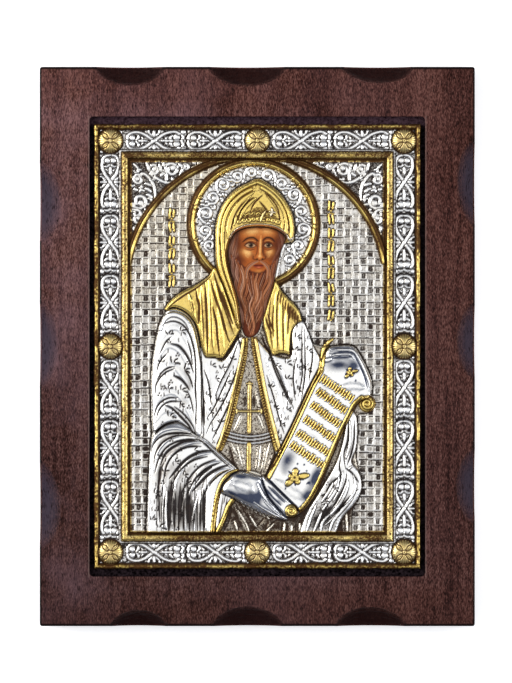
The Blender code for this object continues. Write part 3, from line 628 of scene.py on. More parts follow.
def makeWeave(sheet):
    f = field
    at = sheet.window(-f["halfX"] - 1.4, f["halfX"] + 1.4, -f["halfY"] - 1.4, f["halfY"] + 1.4)
    x, y = sheet.axes(at)
    shape = (y.shape[0], x.shape[1])
    sway, swayY = [(blots(shape, 9, seed) - 0.5) * 0.9 for seed in (21, 22)]
    u, v = (x + sway - f["weaveX"]) / f["pitch"], (y + swayY - f["weaveY"]) / f["rowPitch"]
    cu, cv = np.floor(u).astype(int), np.floor(v).astype(int)
    fu, fv = u - cu - 0.5, v - cv - 0.5
    rng = np.random.RandomState(11)
    chance, chance2, chance3 = [rng.rand(64, 80)[cu % 64, cv % 80] for _ in range(3)]
    high = unit((y - 5) / 60)  # the upper ground is softer
    # small sunken squares, every other one deep, with fine strands across their floor
    square = (np.abs(fu / 0.33) ** 4 + np.abs(fv / 0.35) ** 4) ** 0.25
    sunk = unit((1.04 - square) / 0.18)
    strands = 0.5 + 0.5 * np.cos(2 * np.pi * (fu * 4 + 0.3 * chance))
    deep = ((cu + cv) % 2 == 0) ^ (chance > 0.86)
    strong = np.where(cu % 3 == 1, 1, 0.8)
    floor = np.where(deep, (0.66 + 0.42 * chance3) * strong, 0.22 + 0.32 * chance3)
    floor = floor * (1 - 0.34 * high) * (1 - 0.3 * strands)
    z = 0.36 - np.where(deep, 0.34, 0.22) * sunk * (1 - 0.3 * strands)
    rib = 0.02 + 0.14 * chance2 + 0.05 * high
    dark = rib * (1 - sunk) + floor * sunk
    # dark rims of the squares, and a slit where a rib of the row dips under the uprights
    edge = near(square, 1.08, 0.1) * (0.3 + 0.45 * chance)
    length = 0.34 + 0.22 * chance3
    slit = np.exp(-((fv - 0.45 + 0.05 * (chance3 - 0.5)) * f["rowPitch"] / 0.34) ** 4) \
        * unit((length - np.abs(fu + 0.12 * (chance - 0.5))) / 0.05)
    slit = slit * (0.75 + 0.5 * chance2) * (1 - 0.2 * high)
    upright = near((0.5 - np.abs(fu)) * f["pitch"], 0.12, 0.15) * (chance3 > 0.5) * 0.5
    cuts = unit(np.maximum(np.maximum(edge, upright), slit))
    grain = blots(shape, 260, 23)
    sheet.z[at] = z - 0.28 * cuts + 0.1 + 0.05 * grain
    sheet.dark[at] = unit(np.maximum(dark, cuts) + 0.3 * (grain - 0.5) + 0.03)
    sheet.gilt[at] = 0.1 + 0.16 * high * unit(0.6 - x / 40)
    sheet.settle()


def ring(x, y, reach, angle):
    return x + reach * math.cos(angle), y + reach * math.sin(angle)


def volute(sheet, x, y, r, start, way, turns, width, rise, ink, tail=(), bulb=0.22, shrink=0.8, lobes=0):
    # a curl that winds in to a round eye; tail is where its stem comes from
    for k in range(lobes):
        a = math.radians(start) + way * (0.08 + 0.15 * k) * turns * 2 * math.pi
        tip = r + 1.5 - 0.25 * k
        leaf(sheet, [ring(x, y, r * 0.86, a), ring(x, y, tip, a - 0.1 * way),
            ring(x, y, tip, a - 0.4 * way)], 1.15, rise * 0.9, ink)
    count = 13
    points = list(tail)
    for i in range(count):
        t = i / (count - 1)
        a = math.radians(start) + way * t * turns * 2 * math.pi
        points.append(ring(x, y, (r - width / 2) * (1 - shrink * t), a))
    sheet.cord(points, width, rise, ink=ink, rim=0.45, ends=(0.45, 0.75), steps=4)
    sheet.bead(*points[-1], r * bulb, rise, ink=ink * 0.9, rim=0.36)


def leaf(sheet, points, width, rise=0.5, ink=0.7):
    sheet.cord(points, width * 1.15, rise, ink=min(1, ink * 1.3), rim=0.45, ends=(0.2, 0.25), steps=5)


def makeSpandrels(sheet):
    f = field
    rng = np.random.RandomState(5)
    x, y = sheet.axes()
    r = np.hypot(x - f["archX"], y - f["archY"])
    outside = (r > f["archRadius"]) & (y > 38) & (np.abs(x) < f["halfX"] + 0.3) \
        & (y < f["halfY"] + 0.3)
    grain = blots(sheet.z.shape, 330, 31)
    sheet.put(..., outside, z=0.05 + 0.12 * grain, dark=0.36 + 0.55 * grain, gilt=0.05)
    sheet.settle()
    for s in (-1, 1):
        def put(points):
            return [(s * -px + (0 if s < 0 else 0.5), py) for px, py in np.reshape(points, (-1, 2))]

        leaf(sheet, put((-60, 88.5, -58, 86.5, -57.5, 84.5)), 1.2)
        leaf(sheet, put((-59.5, 85, -58.4, 83.4, -58.2, 82)), 1.1)
        for px, py, r, start, way, turns, width, tail in f["curls"]:
            volute(sheet, *put((px, py))[0], r * 1.1, start if s < 0 else 180 - start, -s * way, turns,
                width * 1.35, 0.34, 1, put(tail), 0.3, 0.7, 4 if r > 2.5 else 2)
        for px, py, tx, ty in f["leaves"]:
            middle = ((px + tx) / 2 + rng.uniform(-0.4, 0.4), (py + ty) / 2 + 0.5)
            leaf(sheet, put([(px, py), middle, (tx, ty)]), 1.35, 0.32, 1)
        for spot in put(f["pits"]):
            sheet.pit(*spot, 0.55, 0.25, 0.9)


def ringProfile(sheet, name, mask, darkIn, darkOut, split, tone):
    # a round gilt moulding with a fine ditch along it and soot with painted shade on both sides
    cx, cy, radius, half, rise = [field[name + key] for key in ("X", "Y", "Radius", "Half", "Rise")]
    x, y = sheet.axes()
    d = np.hypot(x - cx, y - cy) - radius
    cut = near(d, split, 0.3)
    top = 0.45 + (rise - 0.45) * np.sqrt(1 - unit(np.abs(d) / half) ** 2.2) - 0.55 * cut
    lane = np.maximum(0.8 * cut, 0.86 * unit((d - split + 0.1) / 0.7))
    sheet.put(..., (np.abs(d) < half) & mask, z=top, dark=np.clip(lane + tone, 0, 0.95), gilt=1, polish=0.6)
    out = unit(1 - (d - half) / 0.9) * (d > half) * mask
    inn = unit(1 - (-d - half) / 0.9) * (-d > half) * mask
    sheet.soilAndShade(..., np.maximum(darkOut * out, darkIn * inn))
    sheet.gilt = np.maximum(sheet.gilt, 0.8 * np.maximum(out, inn) ** 0.5 * (out + inn > 0.05))
    sheet.z -= 0.15 * np.maximum(out, inn) ** 2
    sheet.settle()


def makeArch(sheet):
    f = field
    x, y = sheet.axes()
    mask = (y > f["archY"] + 10.5) & (np.abs(x) < f["halfX"] + 0.6) & (y < f["halfY"] + 1.2)
    tone = (blots(sheet.z.shape, 30, 33) - 0.45) * 0.8 + 0.48 + 0.3 * unit((y - 78) / 10)
    ringProfile(sheet, "arch", mask, 0.75, 0.8, 0.25, tone)


def makeHalo(sheet):
    f = field
    x, y = sheet.axes()
    cx, cy = f["haloX"], f["haloY"]
    r, turn = np.hypot(x - cx, y - cy), np.arctan2(y - cy, x - cx)
    grain = blots(sheet.z.shape, 380, 41)
    hatch = unit(np.cos(turn * 58 + r * 1.3 + 5 * blots(sheet.z.shape, 60, 42)) - 0.62) * 1.6
    sheet.put(..., r < f["haloRadius"], z=0.62 + 0.07 * grain, dark=0.04 + 0.3 * grain ** 2 + 0.6 * hatch,
        gilt=0)
    sheet.settle()
    tone = (blots(sheet.z.shape, 36, 43) - 0.5) * 0.5
    tone = tone + 0.16 + 0.22 * unit((cy - y) / 24) * (x > cx)
    ringProfile(sheet, "halo", True, 0.6, 0.9, 0.15, tone)

    def polar(angle, reach):
        return ring(cx, cy, reach, math.radians(angle))

    for s, turns in f["climbs"]:
        before = None
        for k, (a, reach, r0) in enumerate(turns):
            outer = k % 2 == 0
            way = 1 if outer else -1
            start = a + 75 * s if outer else a + 180 - 75 * s
            tail = []
            if before:
                tail = [polar(before + (a - before) * 0.32, 21 if outer else 26.9),
                    polar((a + before) / 2, 24)]
            volute(sheet, *polar(a, reach), r0 * (1.16 if outer else 1), start, -s * way, 1.25, 1.4, 0.3, 1,
                tail, 0.3, 0.7, 3)
            side = 21.4 if outer else 26.6
            for da, dr, w in ((7.5, 0, 1), (10.5, 0.9, 0.9), (5, -1.2, 0.8)):
                p = polar(a + s * da, side + dr * way)
                q = polar(a + s * (da + 2.6), side + (dr - 1.6) * way)
                leaf(sheet, [p, ((p[0] + q[0]) / 2 + 0.3, (p[1] + q[1]) / 2), q], w * 1.25, 0.35, 0.9)
            sheet.pit(*polar(a - s * 8.4, 27.2), 0.5, 0.3, 1)
            before = a
    sheet.settle()


def makeMarks(sheet):
    # two columns of small gilt strokes beside the halo
    for x, top, step, count in field["marks"]:
        for i in range(count):
            y = top - i * step
            lean = (0.1, -0.12, 0.05, 0.14, -0.06)[i % 5]
            for du, tall in ((-0.95, 2.2), (0.95, 1.7 + 0.3 * (i % 2))):
                sheet.cord((x + du - lean * tall, y - tall, x + du + lean * tall, y + tall), 1.1, 0.55,
                    gilt=1, ink=1, rim=0.5, ends=(0.8, 0.8), steps=2)
            if i % 2 == 0:
                sheet.bead(x, y - 2.5, 0.5, 0.35, gilt=1, ink=0.6)
            else:
                sheet.cord((x - 1.2, y + 2.5, x, y + 3, x + 1.2, y + 2.6), 0.7, 0.4, gilt=1, ink=0.6,
                    rim=0.3)
    sheet.settle()


figure = dict(
    bodyRise=1.3, leftRobeRise=2.4, rightRobeRise=2.5, capeLeftRise=3.5, capeRightRise=3.2,
    upperSleeveRise=3.5, lowerSleeveRise=3.1, rightSleeveRise=2.7, hoodRise=4.3,
    scrollRise=3.7, handRise=3.6,
)

faceOutline = (-9.6, 55.4, -4, 57.4, 4, 57.5, 9.6, 56, 13.6, 52.4, 11.6, 46, 9.6, 38, 8, 30, 5.4, 22, 3, 14,
    0.6, 7, -3.4, 4.2, -6.6, 6, -8.2, 13, -9.4, 22, -12, 32, -13.8, 41, -14.2, 47, -12.6, 52)


def sprigs(sheet, rows, ink=0.8):
    # engraved sprays of three small leaves: middle, size, turn
    for x, y, size, turn in rows:
        for a, reach, start in ((0.42, 2.6, 0.6), (-0.6, 2.8, 0.6), (1.25, 2.2, 1)):
            a += turn
            points = [(x + size * far * math.sin(b),
                y + size * far * math.cos(b)) for far, b in ((start, a), (start + reach * 0.55, a + 0.12),
                (start + reach, a + 0.3))]
            sheet.groove(points, 0.62 * size ** 0.5, 0.2, ink, ends=(0.3, 0.9), steps=4)


def threeDots(sheet, rows, gap=1.25, r=0.5):
    for x, y in rows:
        for dx, dy in ((-0.5, 0), (0.5, 0), (0, 0.85)):
            sheet.pit(x + dx * gap, y + dy * gap, r, 0.2, 1)


def commas(sheet, line, spread, count, seed):
    # small chased strokes strewn along a panel, none touching the next
    rng = np.random.RandomState(seed)
    path = smoothLine(line, 12)
    laid = []
    for _ in range(count * 4):
        px, py = path[rng.randint(len(path))]
        x, y = px + rng.uniform(-spread, spread), py + rng.uniform(-1, 1)
        if len(laid) == count or any(math.hypot(x - u, y - v) < 2.3 for u, v in laid):
            continue
        laid.append((x, y))
        bend = rng.uniform(-0.45, 0.45)
        sheet.groove((x, y, x + bend, y - 0.9, x + 0.5 * bend, y - 1.9), 0.34, 0.14, 0.7, ends=(0.25, 0.9))


def stipple(sheet, at, mask, amount, depth, seed):
    speck = np.random.RandomState(seed).rand(*sheet.z[at].shape)
    speck = (speck + np.roll(speck, 1, 0) * 0.5 + np.roll(speck, 1, 1) * 0.5) / 2
    dots = unit((speck - 0.52) * 4) * mask
    sheet.z[at] -= depth * dots
    sheet.dark[at] = unit(sheet.dark[at] + amount * dots)


# painted shade and painted reflections, one soft oval for each row
def shadeClouds(sheet, rows):
    for row in rows:
        sheet.cloud(*row)


def lines(sheet, rows, width, depth, ink, soft=0, way=0):
    # soft lays a streak of painted shade beside each line, on one side only if way is given
    for row in rows:
        if soft:
            sheet.shade(row, 3, soft, way=way)
        sheet.groove(row, width, depth, ink)


def shades(sheet, rows, width, amount):
    for row in rows:
        sheet.shade(row, width, amount)


def thin(sheet, rows, width, rise, **more):
    for row in rows:
        sheet.cord(row, width, rise, ends=(0.3, 0.3), **more)


def folds(sheet, rows, width, rise, ink, rim=0.34):
    thin(sheet, rows, width, rise, ink=ink, rim=rim, cut=0.1, clean=0.6)


def softFolds(sheet, rows, width, rise, lean=0):
    for row in rows:
        sheet.ridge(row, width, rise, lean=lean)


def giltCurl(sheet, x, y, r, start, width, rise, ink, reach=None):
    sheet.settle()
    volute(sheet, x, y, r, start, -1, 1.7, width, rise, ink)
    at, u = sheet.spot(x, y, reach or r)
    sheet.put(at, u < 1.1, gilt=1)
    sheet.settle()


def makeTunic(sheet):
    body = (2, 30, 6, 26, 16, 16, 25, 3, 34, 0, 47, 0, 55, -17, 54, -31, 48, -34, 47.5, -53, 50.3, -66, 46,
        -78, 45.5, -91, 45.5, -91, -53.2, -91, -53.2, -91, -52.6, -62, -50.6, -38, -50, -12, -46.8, 7, -42,
        14, -28, 24, -16, 34)
    at, d = sheet.form(body, figure["bodyRise"], 1.6, 0.55, gilt=0.24, ink=1, dark=0.32)
    stipple(sheet, at, d > 0.5, 0.72, 0.12, 51)
    x, y = sheet.axes(at)
    skirt = unit((-73 - y) / 5) * (d > 0) * (0.4 + 0.6 * blots(d.shape, 60, 52))
    sheet.dark[at] = unit(sheet.dark[at] + 0.46 * skirt)
    sheet.settle()
    # folds of the tunic, either side of the cross and below the belt
    softFolds(sheet, [(-9, -22, -10.5, -30, -13, -38), (-1, -20, 1, -30, 3, -38),
        (-7.5, -33, -8.6, -37, -10, -40), (-12, -47, -11, -53, -9, -58), (-8, -47.5, -7, -54, -6, -59),
        (0, -47, 0, -54, -1, -60), (4, -47, 3.4, -54, 2, -60), (8, -51, 5.6, -57, 4, -61)], 1.7, 0.35)
    thin(sheet, [(-8, -33, -9.6, -37, -11.4, -40.4), (0.4, -33, 1.8, -36.6, 3, -40), (-9.6, -47.4, -8.4,
        -53, -7, -58.4), (1.8, -47, 1.2, -53, 0.4, -59), (6, -46.6, 4.4, -53, 3, -59.6),
        (-12.6, -46.4, -11, -50, -9.4, -53)], 0.9, 0.25, ink=0.7, rim=0.34, clean=0.8)
    shades(sheet, [(-14.6, -38, -11.6, -33, -10.4, -26), (5.4, -38, 3.4, -33, 1.4, -26),
        (-13.6, -48, -12, -54, -10.6, -60), (9.4, -49, 6.6, -56, 5, -60), (-5.8, -24, -6.2, -29),
        (-1.8, -24, -1.4, -29)], 2.4, 0.4)
    sheet.settle()
    # belt: three sagging straps
    for y0, sag in ((-41.6, 1.7), (-43.3, 1.7), (-45.2, 1.5)):
        sheet.cord([(-15.4, y0 + 0.6), (-10, y0 - sag * 0.55), (-4, y0 - sag), (2, y0 - sag * 0.7),
            (7.6, y0 + 0.4)], 0.95, 0.5, gilt=0, ink=1, rim=0.62)
    # the cross
    sheet.cord((-3.7, -17.8, -3.8, -29, -3.9, -41.2), 1.75, 0.6, gilt=0.9, ink=0.9, rim=0.42)
    sheet.cord((-10.2, -31.2, -4, -31.3, 2.2, -31.2), 1, 0.62, gilt=0.9, ink=0.9, rim=0.42)
    for x in (-10, 2):
        sheet.cord([(x, -30.3), (x, -32.2)], 0.8, 0.6, gilt=0.9, ink=0.7)
    sheet.cord((-5, -18, -2.5, -18), 0.8, 0.6, gilt=0.9, ink=0.7)
    sheet.groove((-3.8, -19, -3.9, -40), 0.4, 0.12, 0.5)
    sheet.cord((-4, -47.2, -4.1, -53, -4.1, -59.4), 1.9, 0.5, gilt=0.95, ink=0.85, rim=0.42)
    sheet.groove((-4, -48, -4.1, -59), 0.4, 0.12, 0.6)
    sheet.settle()
    # skirt under the hand and the scroll
    softFolds(sheet, [(-11, -77, -8, -83, -5, -90), (-4, -80, -2, -85, 1, -90), (6, -84, 5, -90),
        (16, -86, 16, -90.6), (21, -84.6, 21, -90.6), (28.6, -85, 27, -90.6), (34, -86, 36, -90.6),
        (41.6, -82, 41.6, -90.6)], 2.2, 0.5)
    lines(sheet, [(-10.6, -75.6, -7.6, -82, -3.4, -89.6), (-7, -78.6, -3, -84.4, 1.4, -90),
        (-12.4, -78, -13.6, -84, -16.6, -89.6), (3.4, -82.6, 0.6, -86, -3, -90), (9.4, -83.6, 6.4, -86.4, 4,
        -89.6), (12, -84.4, 11.4, -90.4), (14.4, -85, 14.2, -90.4), (18.6, -85, 18.4, -90.4),
        (22.6, -84.6, 22.8, -90.4), (25.6, -84.6, 24.8, -90.4), (30.6, -86, 33.4, -90.6),
        (38.4, -82, 38, -90.4), (39.4, -84, 41.6, -90.4)], 0.75, 0.3, 0.95)
    thin(sheet, [(-9.4, -79, -6.4, -84, -4, -89), (-3.6, -82, -0.4, -87), (8, -85.6, 4, -89.6),
        (-14.6, -80, -16.8, -86), (-11, -84, -9.6, -89), (13.2, -85, 12.8, -90), (16.6, -86, 16.4, -90),
        (20.4, -85.4, 20.6, -90), (27.6, -86, 26.4, -90), (35.6, -84.6, 36.4, -90), (43, -80, 43.4, -90),
        (32, -87, 34.6, -90), (-5.6, -85, -4, -89.6)], 0.9, 0.3, ink=0.9, rim=0.4, clean=0.85)
    sheet.settle()


def makeRightSleeve(sheet):
    sheet.form((43, -31, 47.6, -33, 48.2, -43, 47.4, -50, 45.4, -55.4, 48.8, -60.4, 50.4, -66, 49.4, -71.6,
        46, -77, 41, -82.6, 37.6, -91, 37.6, -91, 20, -91, 20, -91, 24, -80, 30, -70, 38, -56, 42, -42),
        figure["rightSleeveRise"], 1.5, 0.6, ink=0.6)
    softFolds(sheet, [(45.4, -34, 45.6, -44, 43.8, -55), (44, -60, 42.6, -68, 37, -79),
        (47.4, -62, 46.4, -70, 40, -80), (40, -58, 38, -66, 33, -76)], 2.2, 0.5)
    lines(sheet, [(44, -36, 43.6, -45, 41.8, -52, 42.4, -58.4), (46.8, -36, 46.8, -44, 45.6, -51, 43.4,
        -57), (42.4, -58.6, 45.6, -61, 49, -65.6), (40.6, -52, 39.6, -58, 40.4, -63, 38, -70),
        (43.4, -60.6, 42, -67, 38.6, -74, 34.6, -80), (48.6, -69, 44.4, -73, 40, -78.4, 36, -84),
        (40.4, -62, 36, -66, 33, -70), (45, -74.6, 41, -77.6, 36.6, -82.6), (30.6, -72, 33.4, -71, 35, -68),
        (35.8, -76.6, 33.4, -81.4, 30, -85)], 0.7, 0.3, 0.95, 0.34, -1)
    shadeClouds(sheet, ((45, -46, 1.6, 8, 0, 0.3), (41, -78, 5, 2, 0.7, 0.4), (33, -80, 4, 3, 0.6, 0.55),
        (36, -66, 2.4, 6, 0.3, 0.4), (30, -83, 3, 2, 0, 0.5), (47.6, -66, 1.4, 4, 0, 0.2)))
    folds(sheet, [(41.4, -60, 40, -68, 36.4, -75), (46.4, -57, 44, -59.4), (31, -76, 34, -74.6, 36, -71.4)],
        0.9, 0.3, 0.5)
    at = sheet.window(24, 50, -91, -50)
    x, y = sheet.axes(at)
    shadow = unit((48 - x - (y + 92) * 0.42) / 9) * unit((-52 - y) / 10)
    sheet.dark[at] = unit(sheet.dark[at] + 0.22 * shadow * (sheet.z[at] > 1.2))
    stipple(sheet, at, shadow * (sheet.z[at] > 1.2), 0.4, 0.1, 64)
    thin(sheet, [(46.4, -62, 47.4, -68, 44.6, -74, 38.6, -81, 33, -86), (43.4, -62.6, 43.2, -69, 39.6, -76,
        34, -82.6), (39.4, -62, 38.6, -68, 35, -74, 30.6, -80), (36.6, -65.6, 34.4, -70, 31, -75),
        (44.6, -36, 44.8, -46, 42.8, -54), (46, -73.4, 41, -79, 36.4, -84.6, 34.6, -90.4),
        (31, -80, 27, -90), (34.8, -81, 31.4, -85, 30.4, -90.4), (28.6, -76, 25.6, -83, 23.6, -90)], 1.2,
        0.4, ink=0.66, rim=0.5)
    shadeClouds(sheet, ((41, -76, 4, 8, 0.4, 0.4), (34, -84, 4.4, 6, 0.5, 0.4), (28, -86, 3.6, 4, 0.3, 0.45),
        (44, -50, 2, 8, 0.1, 0.3)))
    sprigs(sheet, ((37, -69, 0.7, 0.5), (32.6, -75, 0.7, 0.9)))
    threeDots(sheet, ((34, -66.6), (30.6, -79), (33.8, -78)))
    sheet.settle()


def makeRobes(sheet):
    # left robe
    sheet.form((-28, -1, -17, -7, -9, 4, -6, 2.4, -9, -12, -13, -30, -19.8, -51, -27.6, -45),
        figure["leftRobeRise"], 1.2, 0.72, ink=1, dark=0.05)
    softFolds(sheet, [(-10, 2, -14, -9, -20, -22, -24, -33), (-7.6, -4, -11, -18, -17, -33, -22, -44),
        (-24.4, -8, -24, -20, -24.4, -32)], 2.8, 0.5)
    lines(sheet, [(-9.2, 2, -13, -8, -17.6, -17, -20.4, -24), (-7, -1, -9.4, -10, -14, -22, -18.4, -30.6,
        -22.4, -37, -24.6, -42), (-12.6, -11.6, -17.4, -22, -20.6, -29, -24.2, -34.6),
        (-25.6, -11.4, -23.6, -17.6, -22, -28.4), (-11, -22, -14.6, -30, -18, -37.6, -21.6, -45),
        (-27, -14, -26, -26, -25.4, -38), (-13.6, -33, -16.4, -41, -19.6, -47)], 0.65, 0.3, 0.95, 0.3, 1)
    sprigs(sheet, ((-22, -9.6, 0.7, 0.2), (-16.6, -11, 0.7, -0.5), (-20, -16, 0.6, 0.6),
        (-14.6, -17.6, 0.7, 0.4), (-24, -24, 0.6, 0.1), (-18.6, -27, 0.7, -0.3), (-14.4, -28, 0.6, 0.2),
        (-22.8, -31.6, 0.6, 0.4), (-17.4, -37, 0.6, -0.6), (-21.4, -41.4, 0.6, 0.3), (-11.4, -14, 0.6, 0.3),
        (-12, -6.6, 0.6, -0.2)), 0.75)
    threeDots(sheet, ((-19.4, -12.6), (-25.4, -27.4), (-21, -46.4), (-19, -33), (-15.6, -23.4),
        (-23, -20.4)), 0.9, 0.36)
    sheet.settle()
    # right robe
    sheet.form((-1.6, 4, 6, -3, 16, -5, 17, 8, 21.6, 12.3, 24.6, 6.8, 27, 0.4, 30.4, -6, 31, -10, 24, -25,
        14, -46, 9.2, -52.4, 4.6, -32, 1, -12), figure["rightRobeRise"], 1.3, 0.7, ink=1, dark=0.05)
    softFolds(sheet, [(19.4, 8, 19, -4, 17.6, -18, 12, -34), (24, 4, 24.6, -6, 23, -20, 17, -34),
        (3, -2, 7, -13, 11, -26, 12.4, -40), (9, -6, 13, -16, 16.4, -27)], 2.8, 0.5)
    lines(sheet, [(1.6, 4.6, 5.6, -3, 8.7, -12, 12.4, -20.4, 16, -28), (3, 3, 7, -5, 10.2, -13, 14, -22,
        17.6, -30), (4.6, -14, 8, -25, 10.6, -35, 13, -42), (21.6, 9.6, 21.5, -4, 21.6, -14, 20, -24),
        (22.8, 8, 23, -5, 22.8, -16, 21, -27), (26.4, 1, 26.6, -6, 25, -16),
        (18.6, -6, 17.4, -16, 18.4, -26), (2, -12, 4.8, -24, 8, -37, 9, -46)], 0.65, 0.3, 0.95, 0.3, -1)
    sprigs(sheet, ((19, 4, 0.7, 0.1), (18.4, -2.4, 0.8, -0.3), (24.4, -2.6, 0.8, 0.3), (14, -8.6, 0.9, 0.2),
        (19.6, -11, 0.7, 0.2), (9.6, -10, 0.6, 0.5), (14.6, -16, 0.7, -0.2), (24, -12, 0.7, 0.1),
        (12.6, -24.4, 0.7, 0.2), (19.4, -21, 0.6, 0.4), (6.6, -20, 0.6, -0.4), (14.6, -31, 0.6, 0.2),
        (8.6, -30, 0.6, 0.2), (11.6, -38, 0.6, 0.3), (6, -7.4, 0.6, 0.2), (24.8, 3.4, 0.6, 0.1),
        (10.4, -45, 0.5, 0.3)), 0.75)
    threeDots(sheet, ((18, -7.2), (24.6, -9), (11, -17), (16.6, -26), (6.8, -27), (10, -42), (13.6, -35)),
        0.85, 0.34)
    sheet.settle()
    commas(sheet, (-12, -8, -16, -20, -21.6, -36), 3.2, 26, 65)
    commas(sheet, (20.4, 4, 19.6, -10, 15, -26, 9.8, -42), 3, 34, 66)
    # neck opening under the beard: small shaded folds
    lines(sheet, [(-8, 2, -6.4, 0.4, -5.2, -1), (1.8, 6.6, 3.4, 2, 4.8, -1.6),
        (-9.6, 6, -8.6, 2, -7.6, -1.6)], 0.7, 0.25, 0.9)
    # trims: a smooth gilt border and a beaded brown one beside it
    trims = (((-6.6, 3.4, -7.6, -5, -10, -16, -12.4, -27, -15.4, -39, -19.4, -50.4), (-5.3, 3.4, -6, -5,
        -8.2, -16, -10.6, -27, -13.5, -39, -17.6, -49.6)), ((-0.9, 3.6, 0.6, -5, 2.6, -16, 5, -27, 8, -39,
        11, -50.6), (-2.2, 3.6, -1, -5, 0.9, -16, 3.2, -27, 6, -39, 9.2, -49.8)))
    for outer, inner in trims:
        sheet.cord(inner, 1.7, 0.35, gilt=1, ink=0.9, rim=0.4)
        sheet.groove(inner, 1.3, 0.1, 0.78, ends=(1, 1))
        for spot in smoothLine(inner, 9):
            sheet.bead(*spot, 0.36, 0.5, gilt=1, ink=0)
        sheet.cord(outer, 1.75, 0.75, gilt=0.9, ink=0.55)
    sheet.settle()


def makeCapes(sheet):
    sheet.form((8.4, 31.5, 11.3, 27.4, 14.6, 23.6, 18, 20.2, 20.2, 17, 21.6, 12.6, 21.6, 12.6, 18.6, 10.6,
        16.6, 7.6, 15.9, 3.6, 15.6, -4, 15.6, -4, 11.6, -3.2, 7.4, -4.4, 7.4, -4.4, 5.6, 0, 4.2, 5.2, 2.8,
        12, 3.4, 22), figure["capeRightRise"], 1.4, 0.6, gilt=1, polish=0.15)
    softFolds(sheet, [(9.4, 28, 8.6, 18, 8.4, 6, 8.6, -3), (11.6, 26, 11.2, 14, 11.4, 4, 11.6, -3),
        (14.6, 21, 14, 12, 13.8, 2, 13.8, -3)], 2.3, 0.55)
    lines(sheet, [(9.6, 25, 9.4, 14, 9.8, 4, 10, -2.6), (12.6, 22, 12.4, 12, 12.6, 3, 12.8, -2.6),
        (6.6, 24, 5.8, 15, 6.4, 6, 7.4, -1), (8, 20, 7.4, 12, 8, 4), (15.6, 19, 15, 12, 14.6, 6)], 0.55,
        0.2, 0.75, 0.2, -1)
    for k in range(9):  # hatching on the shoulder
        x, y = 10.6 + 1.15 * k, 27.4 - 1.5 * k
        sheet.groove([(x, y), (x - 0.5, y - 3), (x - 0.6, y - 5.4 - 0.5 * (k % 3))], 0.45, 0.2, 0.85)
    lines(sheet, [(3.9, 14.6, 5.2, 10, 7.2, 6), (5, 15.6, 6.2, 11.4, 8.2, 7)], 0.8, 0.25, 0.85)
    shadeClouds(sheet, ((16.6, 17, 4.8, 2.6, -0.9, 0.75), (19.4, 13.4, 2.6, 2, 0, 0.5),
        (12, 25.4, 2.4, 1.6, -0.9, 0.6), (8, 29, 1.6, 2.4, 0, 0.4)))
    sheet.cord((7.6, -3.4, 11.6, -2.6, 15.2, -3.4), 1.2, 0.45, ink=0.5, rim=0.3)
    sheet.settle()
    sheet.form((-20.4, 38, -23.5, 33.9, -29.3, 29.9, -36, 26.7, -41.4, 22.6, -45, 17.9, -45, 17.9, -43.6,
        17.4, -41.4, 18.9, -38.1, 18.5, -34.2, 16.5, -31.3, 13.5, -29.3, 10.1, -27.9, 4.8, -26.4, -2, -24.8,
        -5.2, -24.8, -5.2, -20.6, -5.4, -16.7, -5.6, -16.7, -5.6, -12.3, 1.2, -9.4, 6, -8, 10, -9, 20, -14,
        30), figure["capeLeftRise"], 1.5, 0.6, gilt=1, ink=0.9, rim=0.55, polish=0.2, crown=0.4,
        crownReach=7)
    softFolds(sheet, [(-26.6, 30, -27, 20, -26.4, 8, -25, -3.4), (-23.4, 33, -22.6, 22, -22, 8, -21, -3.6),
        (-20.6, 35, -19, 24, -17.4, 10, -16.2, -1), (-18.2, 35, -15, 24, -12.6, 14, -11.6, 6),
        (-33, 25.6, -31.4, 20, -30, 13)], 2.8, 0.75)
    lines(sheet, [(-21.6, 36.4, -23, 33.4, -29.4, 28.2, -35, 24.8, -39.4, 21.6, -43, 18.6)], 0.75, 0.25,
        0.85)
    lines(sheet, [(-29.6, 28, -29.2, 24, -28, 19, -28.4, 11), (-25.4, 31.4, -24.9, 24.6, -24.4, 14, -24, 4,
        -23.9, -3.6), (-21.4, 19, -19.8, 11.6, -19.2, 4, -18.2, -4.4), (-22.4, 32, -20.6, 24.6, -18.2, 17.8,
        -16.2, 11, -14.4, 4.6, -13.2, 2), (-21, 36, -19.4, 30, -16.8, 23.4, -14.2, 17, -11.8, 11)], 1.05,
        0.4, 1, 0.3, -1)
    lines(sheet, [(-27, 27, -26.6, 18, -26, 8, -25.6, 0), (-23, 27, -22.4, 16, -22, 4, -21, -3.4),
        (-31.6, 22, -30.4, 16), (-17, 26, -14.6, 19, -12.6, 13), (-19.6, 30, -18, 24, -15.4, 17, -13, 10.6,
        -11.4, 6)], 0.6, 0.2, 0.7, 0.2, 1)
    sheet.cord((-24.4, -4.3, -20.6, -4.4, -16.9, -4.6, -13.2, 0.6, -10.4, 5), 1.1, 0.5, ink=0.45, rim=0.3)
    shadeClouds(sheet, ((-12.6, 10, 1.6, 6, 0.3, 0.35), (-28.4, 14, 1.2, 5, 0, 0.3),
        (-43, 19, 2.4, 1.2, 0.6, 0.3)))
    sheet.settle()


